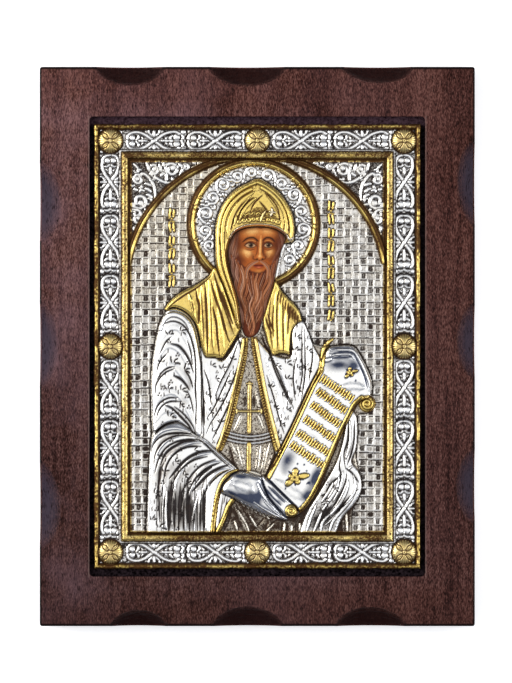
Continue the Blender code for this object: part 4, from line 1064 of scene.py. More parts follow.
def makeHood(sheet):
    sheet.form((0.2, 81, 4.8, 79, 9.8, 75.2, 13.8, 70.4, 16.8, 64.4, 18, 58, 17.8, 52.6, 17.2, 50.6, 14.4,
        50, 9, 49, -4, 48, -12.4, 50, -13.4, 46, -13.3, 38, -11.8, 31, -9.4, 24, -8.2, 18, -7.4, 12, -9.2,
        8.4, -10.8, 13.4, -13.8, 21.4, -16.9, 30, -19.2, 36, -20.2, 42, -20.5, 55, -19.7, 61, -17.4, 67.4,
        -13.9, 72.6, -9.8, 76.4, -4.8, 79), figure["hoodRise"], 1.8, 0.5, gilt=1, ink=0.8, polish=0.2,
        crown=0.5, crownReach=9)
    fallToFace(sheet)
    stippled = sheet.window(-11, 9, 71, 79)
    x, y = sheet.axes(stippled)
    top = (y > 73.6 - 0.045 * (x + 1) ** 2 + 1) * unit((y - 70) / 3)
    stipple(sheet, stippled, top, 0.7, 0.1, 61)
    sheet.settle()
    # rim tubes of the hood, the left ones running on down the lappet
    tubes = (((-9.4, 11, -10.4, 15, -12.8, 23, -15.8, 31, -18.3, 39, -19.1, 47, -19.2, 53, -18.8, 58, -17.4,
        64, -14.6, 69.4, -10.6, 73.8, -5.6, 77.2, -0.4, 79.2), 1.9), ((-8.9, 13, -9.4, 18, -11.2, 25.6,
        -13.9, 33, -15.8, 40, -16.6, 47, -16.9, 53, -16.3, 60, -14.4, 65.4, -11.4, 69.8, -7.4, 73.4, -3,
        75.8), 1.7), ((0.6, 79.2, 5, 77, 9.6, 73.2, 13.4, 68.4, 15.8, 62.6, 16.7, 57, 16.4, 52.4), 1.9),
        ((2.4, 76.4, 6.6, 73.6, 10.4, 69.4, 13, 64, 14, 58.6, 13.8, 54.6), 1.7))
    for row, w in tubes:
        sheet.cord(row, w, 0.6, ink=0.85, rim=0.42, clean=0.75)
    lines(sheet, [(-14.9, 47, -14.2, 40, -12.6, 33.4)], 0.6, 0.3, 0.9)
    # the broad smooth band and the folds of the crown
    folds(sheet, [(-13.9, 52, -13.9, 57, -12.4, 62.6, -9.6, 67.4, -5.8, 71.4, -1.8, 74.4)], 2.4, 0.7, 0.5)
    folds(sheet, [(-11.2, 58.4, -10, 63.4, -7, 68.4, -3.2, 72.4), (-8.4, 61.4, -6.4, 66, -3.4, 69.4, -0.6,
        71.6)], 1.5, 0.55, 0.6)
    folds(sheet, [(11.8, 55.6, 12, 60, 10.8, 65, 8, 69.6, 4.6, 73)], 2, 0.6, 0.6)
    lines(sheet, [(-12.3, 56, -11.6, 61, -8.8, 66.6, -4.8, 71), (-9.7, 60, -8, 65, -5, 69, -1.8, 72),
        (-3.4, 65, -1.4, 69, 2.6, 73), (3.6, 74, 7.4, 70.4, 10, 66, 10.8, 61), (1, 70, 4, 66.4, 6.4, 62.6)],
        0.7, 0.25, 0.8)
    sheet.settle()
    # embroidered patches above the brow
    cap = sheet.window(-9.5, 11, 59, 68)
    x, y = sheet.axes(cap)
    patch = (y < 67.2 - 0.07 * (x - 1) ** 2) & (y > 59.6) & (np.abs(x - 0.6) < 9.4)
    sheet.soilAndShade(cap, 0.36 * patch)
    stipple(sheet, cap, patch, 0.5, 0.12, 62)
    for k in range(9):
        px = -8.8 + 2.35 * k
        py = 59.9 + 1.5 * (1 - ((px - 0.6) / 10) ** 2)
        sheet.bead(px, py, 1 + 0.15 * (k % 3), 0.35, ink=0.95, rim=0.42)
        sheet.pit(px, py, 0.45, 0.2)
        if 0 < k < 8:
            sheet.cord([(px - 0.9, py + 2.3), (px, py + 3.3), (px + 0.9, py + 2.3)], 0.6, 0.3, rim=0.36)
    sheet.cord((1.6, 60.4, 2.4, 63, 4.4, 66), 0.9, 0.5, gilt=0.8, ink=0.95, rim=0.5, ends=(0.8, 0.3))
    sheet.cord((6.4, 62.8, 7.2, 65, 7, 66.6), 0.9, 0.5, gilt=0.45, ink=0.95, rim=0.45, ends=(0.4, 0.5))
    sheet.cord((5.8, 65, 8.6, 64.6), 0.7, 0.4, gilt=0.45, ink=0.9, ends=(0.4, 0.5))
    for x0, y0, x1, y1 in ((-9, 61, -10, 63.4), (-4.6, 60.8, -4.8, 63.6), (11, 60.6, 10.6, 64),
            (3.8, 60.6, 3.6, 62)):
        sheet.groove([(x0, y0), (x1, y1)], 0.7, 0.2)
    sheet.cord((-12.9, 52.4, -9.9, 56.2, -4.2, 58.3, 4, 58.4, 10, 56.9, 14.2, 53), 1.2, 0.5, gilt=0.55,
        ink=0.95, rim=0.45)
    sheet.cord((14.2, 53.4, 16, 51.2, 17, 52.2), 1, 0.5, gilt=0.3, ink=0.6)
    sheet.settle()


def makeLeftArm(sheet):
    # upper sleeve, ringed by its rim band
    outer = (-43.8, 17, -41.2, 18.4, -38, 18, -34.4, 16, -31.6, 13, -29.8, 9.4, -28.4, 4, -27.2, -4, -26.6,
        -14, -26.4, -26, -26.2, -36, -26.4, -44, -31, -43, -38, -38, -44, -39, -50.2, -42, -51.2, -27,
        -51.4, -17.6, -50.7, -7.9, -49.7, -0.6, -48.3, 6.7, -46.6, 12)
    sheet.form(outer, figure["upperSleeveRise"], 2.6, 0.5, polish=0.35, crown=0.7, crownReach=11)
    sheet.cord((-47, 8.6, -45.2, 13, -41.6, 15.3, -38, 15, -34.6, 12.8, -32.2, 9, -30.8, 4, -29.2, -3,
        -28.3, -12, -28.2, -24, -28, -34, -28.4, -42), 2.5, 0.55, ink=0.7, rim=0.36, clean=0.5)
    sheet.groove((-45.6, 14.4, -41.6, 16.9, -37.4, 16.4, -33.4, 14, -30.8, 10, -29.2, 4, -27.6, -6, -27,
        -16, -27, -30, -26.8, -42), 0.5, 0.2, 0.6)
    sheet.groove((-46.6, 9.4, -44, 11.3, -41, 12.2, -38, 11.6, -35.1, 9.6, -32.7, 5.8, -30.9, 0.9, -29.9,
        -5.4, -29.6, -12.7, -29.9, -20, -29.4, -28, -30, -38), 0.75, 0.3, 0.85)
    sheet.settle()
    softFolds(sheet, [(-46, 3, -43, 7.4, -39, 8.6, -35.6, 5.4, -33, -1), (-48.4, -8, -45.6, -2, -42, 0, -37,
        -3, -33, -11), (-49, -19, -46, -12.4, -41.4, -9.4, -36.4, -14, -32.6, -22), (-49.6, -30, -46, -24,
        -41, -22.4, -36, -26, -31.6, -36), (-49.6, -37, -46, -32, -42, -31, -37, -34)], 4.2, 0.3, 0.25)
    lines(sheet, [(-41.6, 1.4, -38.1, 0.4, -35.6, -2, -33.7, -4.9, -32.2, -8.3, -30.9, -12.4),
        (-40.4, -14, -37.1, -15.6, -34.7, -18, -32.8, -21), (-44.2, -28.3, -41, -29.8, -38.4, -32.5, -35.7,
        -35.2, -33, -38.3, -30.6, -42.3)], 0.95, 0.4, 1, 0.34, 1)
    lines(sheet, [(-41.4, 4.6, -43.9, 2.4, -45.6, -0.8, -47, -3.6), (-43.4, -3.5, -45.4, -5.4, -47.3, -8.2,
        -48.3, -11.9), (-40, -10.8, -42.4, -11.7, -44.9, -13.2, -47.3, -15.8, -48.8, -18.8, -49, -23),
        (-39.6, -9.8, -43, -10.4, -46, -12.6, -48.2, -16), (-38.5, -24.9, -42, -24.7, -44.9, -25.8, -47.3,
        -27.8, -48.8, -30.4, -49.8, -34), (-37, -26.6, -41.6, -26.5, -45, -28, -47.4, -31, -48.6, -35),
        (-40.1, -29, -36.6, -31.6, -33.6, -34.8, -31.2, -38.3, -29.9, -42), (-33.8, 3, -32, -3, -31.2, -9),
        (-35.2, -11, -32.6, -15, -31, -20), (-34, -21, -32, -26, -30.8, -32)], 0.62, 0.3, 1, 0.22, -1)
    sprigs(sheet, ((-40.6, -8.4, 1.05, 0), (-42.6, 5.4, 0.75, -0.3), (-37, 7, 0.8, 0.4),
        (-35, -11.6, 0.8, 0.5), (-43, -21, 0.8, -0.4), (-36.6, -21.4, 0.8, 0.3), (-42.4, -34.2, 1, 0.1),
        (-46.2, -8, 0.6, -0.6), (-37, -28.6, 0.6, 0.4)))
    threeDots(sheet, ((-42.4, 2.2), (-41.6, -17.4), (-33.8, -8.4), (-33, -29.6), (-34, -24.4),
        (-45.6, -20.4), (-38.4, -4.4), (-47, -23.6)))
    commas(sheet, (-40, 8, -43, -8, -41, -24, -38, -35), 5, 26, 69)
    shadeClouds(sheet, ((-34.6, -12, 1.6, 5, 0.15, 0.28), (-35.8, -27, 2.2, 3.6, 0.3, 0.34),
        (-32.6, -18.6, 1.4, 4, 0.1, 0.3)))
    sheet.settle()
    # lower sleeve
    sheet.form((-51, -43.6, -48.6, -40.4, -44, -37.6, -38, -36.6, -33, -39.4, -29, -43, -24.4, -46, -19.6,
        -50, -14, -55, -9.4, -59.6, -13.4, -62.4, -17, -67, -19.6, -74, -21.2, -82, -21.8, -91, -21.8, -91,
        -53.6, -91, -53.6, -91, -53, -74, -52.4, -60), figure["lowerSleeveRise"], 2, 0.55, polish=0.35,
        crown=0.5, crownReach=10)
    sheet.groove((-49.4, -42.4, -46.8, -39.3, -44, -37.4, -41, -36.5, -37.6, -36), 1.1, 0.4, 0.95)
    softFolds(sheet, [(-51.8, -50, -50.2, -45, -46, -41, -40, -39.6, -34, -40.6), (-50.6, -62, -48.4, -51.4,
        -43, -45, -36, -42.8, -29, -43.6), (-46.4, -70, -44.4, -58, -39, -50, -31, -46.4, -24, -46.6),
        (-41, -72, -37, -60, -30.6, -53.4, -22, -51.4), (-33.6, -74, -29.4, -63, -23, -57, -16, -55.6),
        (-28, -76, -24.6, -67, -19, -61, -13, -59)], 2.8, 0.5, 0.3)
    lines(sheet, [(-51.4, -51, -50, -47.2, -47.3, -44.1, -43.7, -42.3, -38.4, -41.7, -31, -42.2),
        (-50, -57, -49, -51.6, -46, -46.8, -41.4, -43.8, -36, -42.8, -30, -43.4), (-49.4, -61, -47.6, -54.4,
        -44, -49, -39, -46, -33, -44.8, -28, -45)], 0.8, 0.3, 0.95, 0.3, 1)
    lines(sheet, [(-46.6, -57, -45, -52.8, -42.6, -50, -39.4, -47.8, -35, -45.8, -29, -45.6),
        (-42.4, -63.7, -39.7, -60.4, -36.6, -56.6, -33, -53.5, -28.6, -51.2, -24.1, -50.3, -20.6, -50.6),
        (-31.4, -70, -27.7, -65.9, -23.2, -61.5, -18.7, -58.8, -13.6, -57)], 1.05, 0.45, 1, 0.42, 1)
    lines(sheet, [(-45, -64, -43.6, -57, -40, -52, -34, -48.6, -27, -48.2), (-40.8, -66, -37, -59.6, -31,
        -55, -24, -53), (-36, -70, -32.4, -63, -27, -57.4, -20, -54.4), (-34, -72, -30, -64, -24.4, -59,
        -18, -56), (-26, -72, -22.4, -66, -17.4, -61.4, -12.4, -59), (-29.6, -66, -26.4, -61.6, -21.6,
        -58)], 0.7, 0.3, 0.95, 0.36, 1)
    # the hanging folds
    softFolds(sheet, [(-44.6, -66, -45.4, -78, -45, -90.6), (-39.4, -64, -40, -77, -40.2, -90.6),
        (-34.8, -66, -35, -79, -34.6, -90.6), (-31, -71, -30.8, -82, -30.6, -90.6), (-27.4, -70, -27.2, -82,
        -27, -90.6), (-24, -68, -24, -80, -24.4, -90.6)], 2.4, 0.4)
    lines(sheet, [(-46.8, -58, -47.6, -70, -47, -84), (-41.4, -65, -42.2, -72, -42.6, -82, -42.8, -90),
        (-37, -66, -37.6, -76, -37.8, -90), (-33, -68, -33.2, -78, -32.8, -90),
        (-29.2, -71, -29, -80, -29, -90), (-25.8, -69, -25.6, -80, -25.8, -90)], 0.62, 0.2, 0.85, 0.4)
    lines(sheet, [(-44.8, -72, -45.2, -82, -45, -90), (-39.4, -70, -39.8, -80, -40, -90),
        (-35, -70, -35.4, -80, -35.2, -90), (-31, -74, -30.8, -84, -31, -90), (-27.4, -74, -27.2, -84,
        -27.4, -90)], 0.5, 0.2, 0.8)
    for k in range(19):
        x0 = -48.4 + 1.3 * k
        top = -62 - 3.5 * math.sin(k * 1.7) - 0.16 * k
        lean = 0.5 * math.sin(k * 2.3)
        row = [(x0 + 0.9, top), (x0, top - 11), (x0 + lean, -90.4)]
        if k % 2:
            sheet.shade(row, 1.9, 0.12 + 0.13 * (k % 3))
        else:
            sheet.groove(row, 0.34, 0.14, 0.75)
    shades(sheet, [(-48.6, -50, -45, -45, -38, -42.4), (-46, -58, -42, -51, -34, -47),
        (-42, -66, -37.4, -58, -29, -52), (-36, -70, -31, -62.6, -23, -56),
        (-30, -70, -25, -63.4, -18, -59)], 3.4, 0.36)
    thin(sheet, [(-43.6, -68, -44.2, -80, -44, -89), (-34.6, -70, -36.4, -80), (-31.6, -84, -30, -77, -27.6,
        -68), (-40, -68, -41, -78, -41, -88), (-23.4, -66, -24, -78, -24.4, -89)], 0.75, 0.3, ink=0.3,
        rim=0.3, clean=0.8)
    shadeClouds(sheet, ((-41.4, -77, 2.2, 12, 0, 0.4), (-36.6, -78, 2, 12, 0, 0.42),
        (-31.6, -80, 1.9, 11, 0, 0.42), (-26.6, -80, 1.9, 11, 0, 0.42), (-46, -60, 2.4, 8, -0.3, 0.3),
        (-41, -58, 2.2, 7, -0.6, 0.3), (-33.6, -60, 2, 7, -0.8, 0.34), (-24, -59, 1.8, 7, -0.9, 0.3),
        (-39.6, -50.6, 4.4, 1.5, 0.5, 0.3), (-31, -48, 4.6, 1.3, 0.2, 0.32), (-34.6, -41, 3.6, 0.9, 0, 0.3),
        (-29, -52.6, 3.6, 1, 0.2, 0.22)))
    shadeClouds(sheet, ((-42, -77, 5, 11, 0.1, 0.42), (-35, -76, 3.6, 10, 0.15, 0.36),
        (-47, -60, 2.6, 6, 0.1, 0.3)))
    commas(sheet, (-45, -52, -47.4, -66, -49, -84), 2.6, 16, 67)
    commas(sheet, (-39, -52, -35, -60, -30, -66), 4, 14, 68)
    sprigs(sheet, ((-46, -54, 0.7, -0.5), (-44.6, -60.6, 0.7, -0.3), (-35.6, -62.6, 0.8, 0.5),
        (-49.4, -71.4, 0.9, 0.4), (-38.8, -81.6, 0.9, 0.1), (-47.6, -88, 1.2, 0.1), (-30.4, -50.4, 0.7, 1),
        (-39.4, -56, 0.6, 0.5), (-33.6, -66.4, 0.7, 0.2), (-50.6, -84, 0.7, -0.3)))
    threeDots(sheet, ((-45.6, -37.6), (-41.4, -45.6), (-38.6, -55), (-45.6, -66), (-48.6, -79),
        (-29.6, -58), (-38.4, -88.4), (-37, -50), (-42, -84.6)))
    # edge stripe and the upper edge of the sleeve
    folds(sheet, [(-51.6, -46, -52, -60, -52.4, -76, -52.6, -90)], 1, 0.4, 0.6)
    folds(sheet, [(-32, -41.6, -27.8, -43.9, -24.4, -46.2, -20.4, -50, -16.8, -53.2, -12.9, -56.6, -9.6,
        -59.6)], 1.3, 0.6, 0.9)
    lines(sheet, [(-30.4, -43.8, -25.4, -47, -21.4, -51, -17.4, -54.6, -12.6, -58.8)], 0.6, 0.2, 0.8)
    sheet.settle()
    # silver lining, then the gilt cuffs
    sheet.form((-11.4, -61, -15.6, -65, -18, -71, -19.6, -80, -20.2, -89.4, -18.6, -89, -15.6, -82, -11.6,
        -74, -7, -68), figure["lowerSleeveRise"] - 0.8, 1, 0.7, ink=0.6, polish=0.5, dark=0.05)
    lines(sheet, [(-16.4, -71.6, -17.6, -80, -18.8, -87), (-14.4, -72.6, -15.4, -78, -16.4, -82.6),
        (-15.2, -70.6, -16.2, -76)], 0.5, 0.15, 0.55)
    sheet.cord((-9.9, -60.2, -13.8, -61.8, -16.6, -65, -18.3, -68.8, -19.4, -73, -20.3, -79, -21, -85,
        -21.6, -90.8), 2, 1, gilt=1, ink=0.95, rim=0.45)
    sheet.cord((-11.8, -74, -14, -77, -15.4, -81, -17.2, -85.4, -19.8, -90.6), 1.9, 1, gilt=1, ink=0.95,
        rim=0.45)
    sheet.settle()
    for p in smoothLine((-13.8, -63.2, -16.2, -67, -17.8, -72, -18.8, -79, -19.4, -87), 7)[::2]:
        sheet.pit(p[0] - 0.8, p[1], 0.4, 0.12, 0.6)
    sheet.settle()


def makeScroll(sheet):
    # the rolled top and the horn-shaped fold beside it
    sheet.form((34.2, -1, 37.6, 0.2, 46, 0, 49.4, -4, 52.6, -10, 55.2, -17, 54.6, -24, 50, -26, 46.4, -29.6,
        43.2, -36, 40, -42, 36.8, -50.6, 33, -59.2, 29.8, -66, 26, -72.6, 22, -78.2, 17.6, -81, 13, -80,
        4.4, -64.6, 9.6, -55, 14.6, -45, 20.6, -32, 26.2, -20, 30.2, -13, 31.4, -6), figure["scrollRise"],
        1.3, 0.55, ink=0.9, polish=0.9, crown=0.35, crownReach=6)
    shadeClouds(sheet, ((39, -8.6, 6.6, 3.6, 0.1, 0.78), (46.6, -9.6, 3.6, 3.6, -0.9, 0.8),
        (51.6, -17.6, 1.4, 3, 0.3, 0.15), (14.6, -54.6, 3.6, 5.4, -0.5, 0.75),
        (28, -63, 2.8, 7.4, -0.45, 0.95), (24, -72, 4, 3, 0.6, 0.85), (13.4, -60, 2.4, 3, 0, 0.3),
        (33, -19.4, 4, 1.4, -0.6, 0.26), (35.4, -27.6, 4.4, 1, -0.6, 0.2), (27, -43, 4.4, 1, -0.6, 0.2)))
    sheet.ridge((36, -8, 42, -7.4, 49, -12), 6, 0.5)
    sheet.ridge((8, -64, 15, -69, 24, -74), 7, -0.5)
    sheet.ridge((40, -20, 46, -19, 52, -20), 6, 0.5)
    sheet.settle()
    folds(sheet, [(34.6, -2.2, 39, -1.6, 45.4, -1.8, 48.4, -5, 51.2, -10.4, 54, -17.6, 54.4, -22)], 1.5,
        0.5, 0.9)
    folds(sheet, [(35, -4.6, 39, -3.8, 44.6, -3.8, 46.6, -6)], 1.2, 0.4, 0.8)
    sheet.bead(34.2, -6.4, 2, 0.5, ink=0.6, ry=1.1, turn=0.4)
    lines(sheet, [(34, -0.6, 37, -0.5, 45.6, -0.9), (34.6, -3.3, 45.2, -2.9, 48, -6.4, 50.4, -11.6, 52.4,
        -17), (36, -5.6, 40, -5.2, 45.4, -5), (49.6, -9, 51.6, -14, 53, -20)], 0.7, 0.25, 0.9)
    # gilt double border
    left = (31, -11.4, 26.9, -19, 21.4, -31, 16, -42.4, 10.6, -53, 5.6, -62.8, 4.8, -64.4)
    right = (50.4, -24.6, 46.8, -28, 43.9, -33.4, 40.6, -40, 37.2, -47.6, 33.6, -56, 30.2, -64, 26.4, -71.6,
        22.2, -77.4, 18.4, -80.4)
    for row in (left, right):
        sheet.cord(row, 2.1, 0.65, gilt=1, ink=0.95, rim=0.5)
    sheet.settle()
    left, right = np.reshape(left, (-1, 2)), np.reshape(right, (-1, 2))
    sheet.groove(left + (-0.25, 0), 0.5, 0.22, 0.7, ends=(1, 1))
    sheet.groove(right + (0.25, 0), 0.5, 0.22, 0.7, ends=(1, 1))
    sheet.groove(left + (-1.35, 0.6), 0.9, 0.2, 0.85, ends=(1, 1))
    # horn fold
    sheet.cord((36.4, 3.6, 34, 1.6, 32.2, -1.4, 31.6, -5, 31, -9.6, 29.4, -13.6), 2.3, 0.9, gilt=1,
        ink=0.95, rim=0.5, ends=(0.35, 0.5))
    sheet.groove((35.6, 2.4, 33.4, 0, 32.4, -4, 32, -9), 0.5, 0.2, 0.75)
    sheet.settle()
    # its rolled end
    sheet.bead(53, -27.6, 3.8, 0.5, gilt=0.95, ink=0.9, rim=0.5)
    giltCurl(sheet, 53, -27.6, 3.7, 105, 1.25, 0.55, 0.95)
    # rows of small strokes
    rows = (30.6, -15.2, 46.4, -25.6, 28.8, -21, 43.1, -31.4, 26, -27.6, 39.8, -38, 22.6, -34.6, 37.2,
        -44.6, 19.2, -41.2, 34.4, -51.4, 16, -47, 32, -57.6)
    for k, (a, b) in enumerate(np.reshape(rows, (-1, 2, 2))):
        run = b - a
        length = np.hypot(*run)
        t = run / length
        n = np.array((-t[1], t[0]))
        middle = [a + t * 0.9 - n * 0.1, b - t * 1.1 - n * 0.1]
        at, far, _, _, _ = sheet.trace(middle, 1.7, 2)
        wash = unit((1.2 - far) / 0.4)
        sheet.gilt[at] = np.maximum(sheet.gilt[at], wash)
        sheet.dark[at] = unit(sheet.dark[at] * (1 - wash) + 0.6 * wash)
        rng = np.random.RandomState(70 + k)
        count = int(length / 1.3)
        for i in range(count):
            p = a + t * (0.6 + (length - 1.3) * i / (count - 1))
            up, down = rng.uniform(1.4, 2.2), rng.uniform(1.3, 2)
            lean = t * rng.uniform(-0.16, 0.16)
            sheet.cord([p - n * down - lean, p + n * up + lean], 0.68, 0.36, gilt=1, ink=1, rim=0.32,
                steps=1, cut=0.1)
    # a gilt flower at each end of the rows
    for cx, cy, size, turn in ((44.6, -12.6, 0.8, 0.3), (18, -63.2, 1.4, 0.2)):
        for k in range(5):
            a = turn + k * 2 * math.pi / 5
            long = size * (1.25 - 0.18 * (k * 2 % 5))
            sheet.bead(cx + 2.3 * long * math.cos(a), cy + 1.9 * long * math.sin(a), 1.7 * long, 0.35,
                gilt=1, ink=0.9, ry=size, turn=a, rim=0.45)
        sheet.bead(cx, cy, 1.5 * size, 0.5, gilt=1, ink=0.7)
        sheet.pit(cx, cy, 0.5 * size, 0.2, 0.8)
        for k in range(5):
            a = turn + 0.63 + k * 2 * math.pi / 5
            sheet.groove([(cx + 1.3 * size * math.cos(a), cy + 1.1 * size * math.sin(a)),
                (cx + 3.4 * size * math.cos(a + 0.2), cy + 2.9 * size * math.sin(a + 0.2))], 0.7, 0.2, 0.9)
    for x, y in ((19.4, -56.6), (22.6, -57), (23.8, -60), (24.8, -66), (13.6, -68.4), (47.4, -16.4)):
        sheet.pit(x, y, 0.5, 0.2, 0.95)
    sheet.groove((23.6, -66.4, 25.2, -65.4, 25.4, -67), 0.6, 0.15, 0.85)
    sheet.settle()


def makeHand(sheet):
    # the rolled foot of the scroll
    sheet.form((2.6, -62.4, 5.2, -63.8, 10.4, -68.8, 15.2, -73.6, 19.2, -77.6, 20, -80.4, 17.4, -82.4, 13,
        -81.6, 8, -76.4, 3.6, -70.6, 1, -66), figure["scrollRise"] + 0.3, 2, 0.45, ink=1, rim=0.6, polish=1)
    sheet.ridge((6.4, -66.4, 11, -71, 16, -76), 2.4, 0.5)
    lines(sheet, [(4.8, -64, 9.6, -68.6, 14.6, -73.4, 18.6, -77.4)], 0.8, 0.3, 1)
    lines(sheet, [(5.2, -67.4, 9.4, -71.6, 13.2, -75.2), (3.2, -67.6, 7, -72.4, 11.4, -76.6)], 0.7, 0.25,
        0.8)
    shadeClouds(sheet, ((5.6, -70, 1.4, 3.6, 0.7, 0.55), (10.6, -74.8, 1.2, 2.6, 0.8, 0.6),
        (12.4, -71.8, 0.9, 2, 0.8, 0.35)))
    sheet.settle()
    # the hand, a smooth dome
    sheet.form((-17.4, -70.4, -16.9, -66.4, -13.8, -62.8, -10.6, -60.6, -6.4, -60.4, -1.8, -61.6, 1.9, -63,
        3.4, -67, 5.4, -72, 9.2, -76.8, 12.8, -80.8, 14.6, -83.8, 8, -82.8, 2, -80.6, -3.4, -77.8, -8,
        -75.6, -12.4, -72.8), figure["handRise"], 3, 0.3, ink=1, rim=0.65, polish=1, crown=0.9)
    sheet.ridge((-12, -66, -6, -67.6, -1.4, -70), 7, 0.5)
    shadeClouds(sheet, ((-8, -62.6, 6.4, 1.7, -0.1, 0.95), (-6, -73, 8, 2.6, -0.42, 1), (-12.6, -66.4, 2.6, 1.6,
        0.5, 0.4), (1.6, -70.6, 2.4, 3.4, -0.3, 0.7), (0.6, -66.4, 2.2, 1.6, -0.6, 0.75),
        (-13, -70.4, 3.6, 1.2, -0.5, 0.7), (-1, -73, 4, 3.2, -0.5, 0.8), (-3.4, -69.6, 2, 2.2, 0, 0.35),
        (4.4, -78.6, 5, 1.6, -0.5, 0.6)))
    sheet.settle()
    # thumb over the edge, fingers under the roll
    sheet.cord((-6.4, -61, -3, -60.9, 0.6, -62, 2.2, -64), 1.8, 0.5, ink=0.9, rim=0.45, ends=(0.5, 0.5))
    folds(sheet, [(0.2, -65.6, 2.2, -70.6, 6, -75.4, 10.8, -80.6)], 1.7, 0.55, 0.95, 0.45)
    folds(sheet, [(-1.6, -75, 3, -78.2, 8.4, -81.4, 13.4, -83.6), (2.8, -73.6, 6.6, -77.8, 11.4, -82)], 1,
        0.4, 0.95, 0.4)
    for i in range(7):
        x, y = -7.6 + 2 * i, -75.4 - 1.05 * i
        sheet.cord([(x - 0.8, y + 0.9), (x + 0.5, y - 0.4), (x + 1.2, y - 1.6)], 0.8, 0.4, ink=0.95,
            rim=0.4, ends=(0.4, 0.4))
    sheet.settle()
    # its curled end
    sheet.bead(16.5, -79.3, 3, 0.6, gilt=0.9, ink=1, rim=0.6)
    giltCurl(sheet, 16.5, -79.3, 2.9, 60, 1, 0.5, 1, 3)


def fallToFace(sheet):
    # the sheet dips to the painting all round the opening
    at, far, _, _, _ = sheet.trace(faceOutline, 6, 6, True)
    z = np.minimum(sheet.z[at], 1.9 + 2.3 * np.maximum(far, 0) ** 0.8)
    sheet.z[at] = np.maximum(z, np.where(far < 1.2, 1.75 - 0.6 * far, -9))
    sheet.settle()


painting = dict(
    cell=0.215, inset=0.22, level=1.2, dome=0.4, brush=0.035,
    middleX=0.9, lean=0.066, leanFrom=58,
    skin=(178, 92, 36), light=(224, 146, 74), pale=(248, 196, 122), shadow=(92, 38, 14),
    line=(30, 12, 7), lips=(138, 48, 28), lipLight=(214, 116, 78), hair=(70, 30, 20),
    hairBody=(158, 100, 80), strand=(226, 176, 144), beard=(102, 44, 20), beardBody=(164, 84, 40),
    beardLight=(208, 134, 88), beardDark=(44, 17, 9),
    eyeWhite=(206, 160, 116), pupil=(30, 13, 8), glint=(214, 180, 140),
    # soft dabs of light and shade on the skin: middle, radii, turn, tone, strength
    modelling=[(-9.8, 49, 2.2, 9, 0.08, "shadow", 0.85), (9.7, 49, 3, 9, -0.08, "shadow", 0.95),
               (7.4, 43.6, 2.6, 4, -0.4, "shadow", 0.7), (-7.8, 42.4, 2, 3.6, 0.4, "shadow", 0.7),
               (0, 60.6, 9.6, 2, 0, "shadow", 0.85), (-3.9, 55, 4.4, 2.3, 0.12, "light", 0.9),
               (3.6, 55, 3.8, 2.1, -0.12, "light", 0.75), (-3.8, 55.4, 2.9, 1.1, 0.12, "pale", 0.7),
               (3.4, 55.3, 2.2, 0.8, -0.12, "pale", 0.4), (-4.5, 49.3, 3.6, 2.1, 0, "shadow", 0.85),
               (4.7, 49.3, 3.5, 2.1, 0, "shadow", 0.88), (-5.7, 45, 3, 2, -0.35, "light", 0.95),
               (5.8, 45.2, 2.3, 1.8, 0.35, "light", 0.8), (-5.5, 45.4, 2, 1, -0.35, "pale", 0.9),
               (5.7, 45.6, 1.4, 0.8, 0.35, "pale", 0.6), (-2.9, 43.4, 1, 2, 0.3, "shadow", 0.55),
               (3.5, 43.4, 1.2, 2, -0.3, "shadow", 0.7)],
)


def linear(rgb):
    c = np.array(rgb, float) / 255
    return np.where(c <= 0.04045, c / 12.92, ((c + 0.055) / 1.055) ** 2.4)


class Painting(Sheet):
    def __init__(self, low, high, cell):
        super().__init__(low, high, cell)
        self.colour = np.zeros((self.ny, self.nx, 3))

    def lay(self, at, tone, amount):
        amount = unit(amount)[..., None]
        self.colour[at] = self.colour[at] * (1 - amount) + linear(painting[tone]) * amount

    def stroke(self, points, width, tone, amount=0.9, ends=(0.3, 0.2), soft=1.3):
        points = onHead(points)
        at, far, along, _, _ = self.trace(points, width, 6)
        thick = self.taper(along, ends)
        v = np.exp(-soft * (far / np.maximum(width / 2 * thick, 0.06)) ** 2)
        self.lay(at, tone, amount * v)
        self.z[at] += painting["brush"] * v

    def dab(self, u, y, rx, ry, turn, tone, amount=0.8, hard=2):
        at, u = self.spot(onHead((u, y))[0][0], y, rx, ry, turn)
        self.lay(at, tone, amount * np.exp(-1.2 * u ** hard))

    def wash(self, outline, tone, soft=1, amount=1):
        at, far, _, _, line = self.trace(onHead(outline), soft + 0.3, 6, True)
        d = np.where(self.inside(at, line), far, -far)
        self.lay(at, tone, amount * unit(0.5 + d / soft))

    def lock(self, points, width, tone, edge):
        # a wavy lock: dark outline, body, two bright hairs along it
        points = np.reshape(points, (-1, 2))
        self.stroke(points, width * 1.5, "beardDark", 0.9, (0.5, 0.15), 1.1)
        self.stroke(points, width, tone, 0.85, (0.5, 0.1), 1.1)
        self.stroke(points - (width * 0.26, 0), width * 0.26, edge, 0.85, (0.3, 0.1))
        self.stroke(points + (width * 0.2, 0), width * 0.2, edge, 0.55, (0.3, 0.1))

    def combed(self, t, top, foot, sway, phase, width, tone, amount):
        # one hair of the beard; t runs from -1 at its left edge to 1 at its right
        levels, reach = (4, 14, 22, 30, 38, 44), (1, 4, 6.6, 8.8, 9.4, 9.8)
        self.stroke([(t * np.interp(y, levels, reach) + sway * math.sin(phase + y * 0.42),
            y) for y in np.linspace(top, foot, 7)], width, tone, amount, (0.5, 0.15))


def onHead(points):
    # the head is turned a little, so its far side is the narrower
    p = painting
    return [(p["middleX"] + p["lean"] * (y - p["leanFrom"]) + u * (1.05 if u < 0 else 0.85)
             + 0.9 * min(1, max(0, (y - 20) / 16)), y) for u, y in np.reshape(points, (-1, 2))]


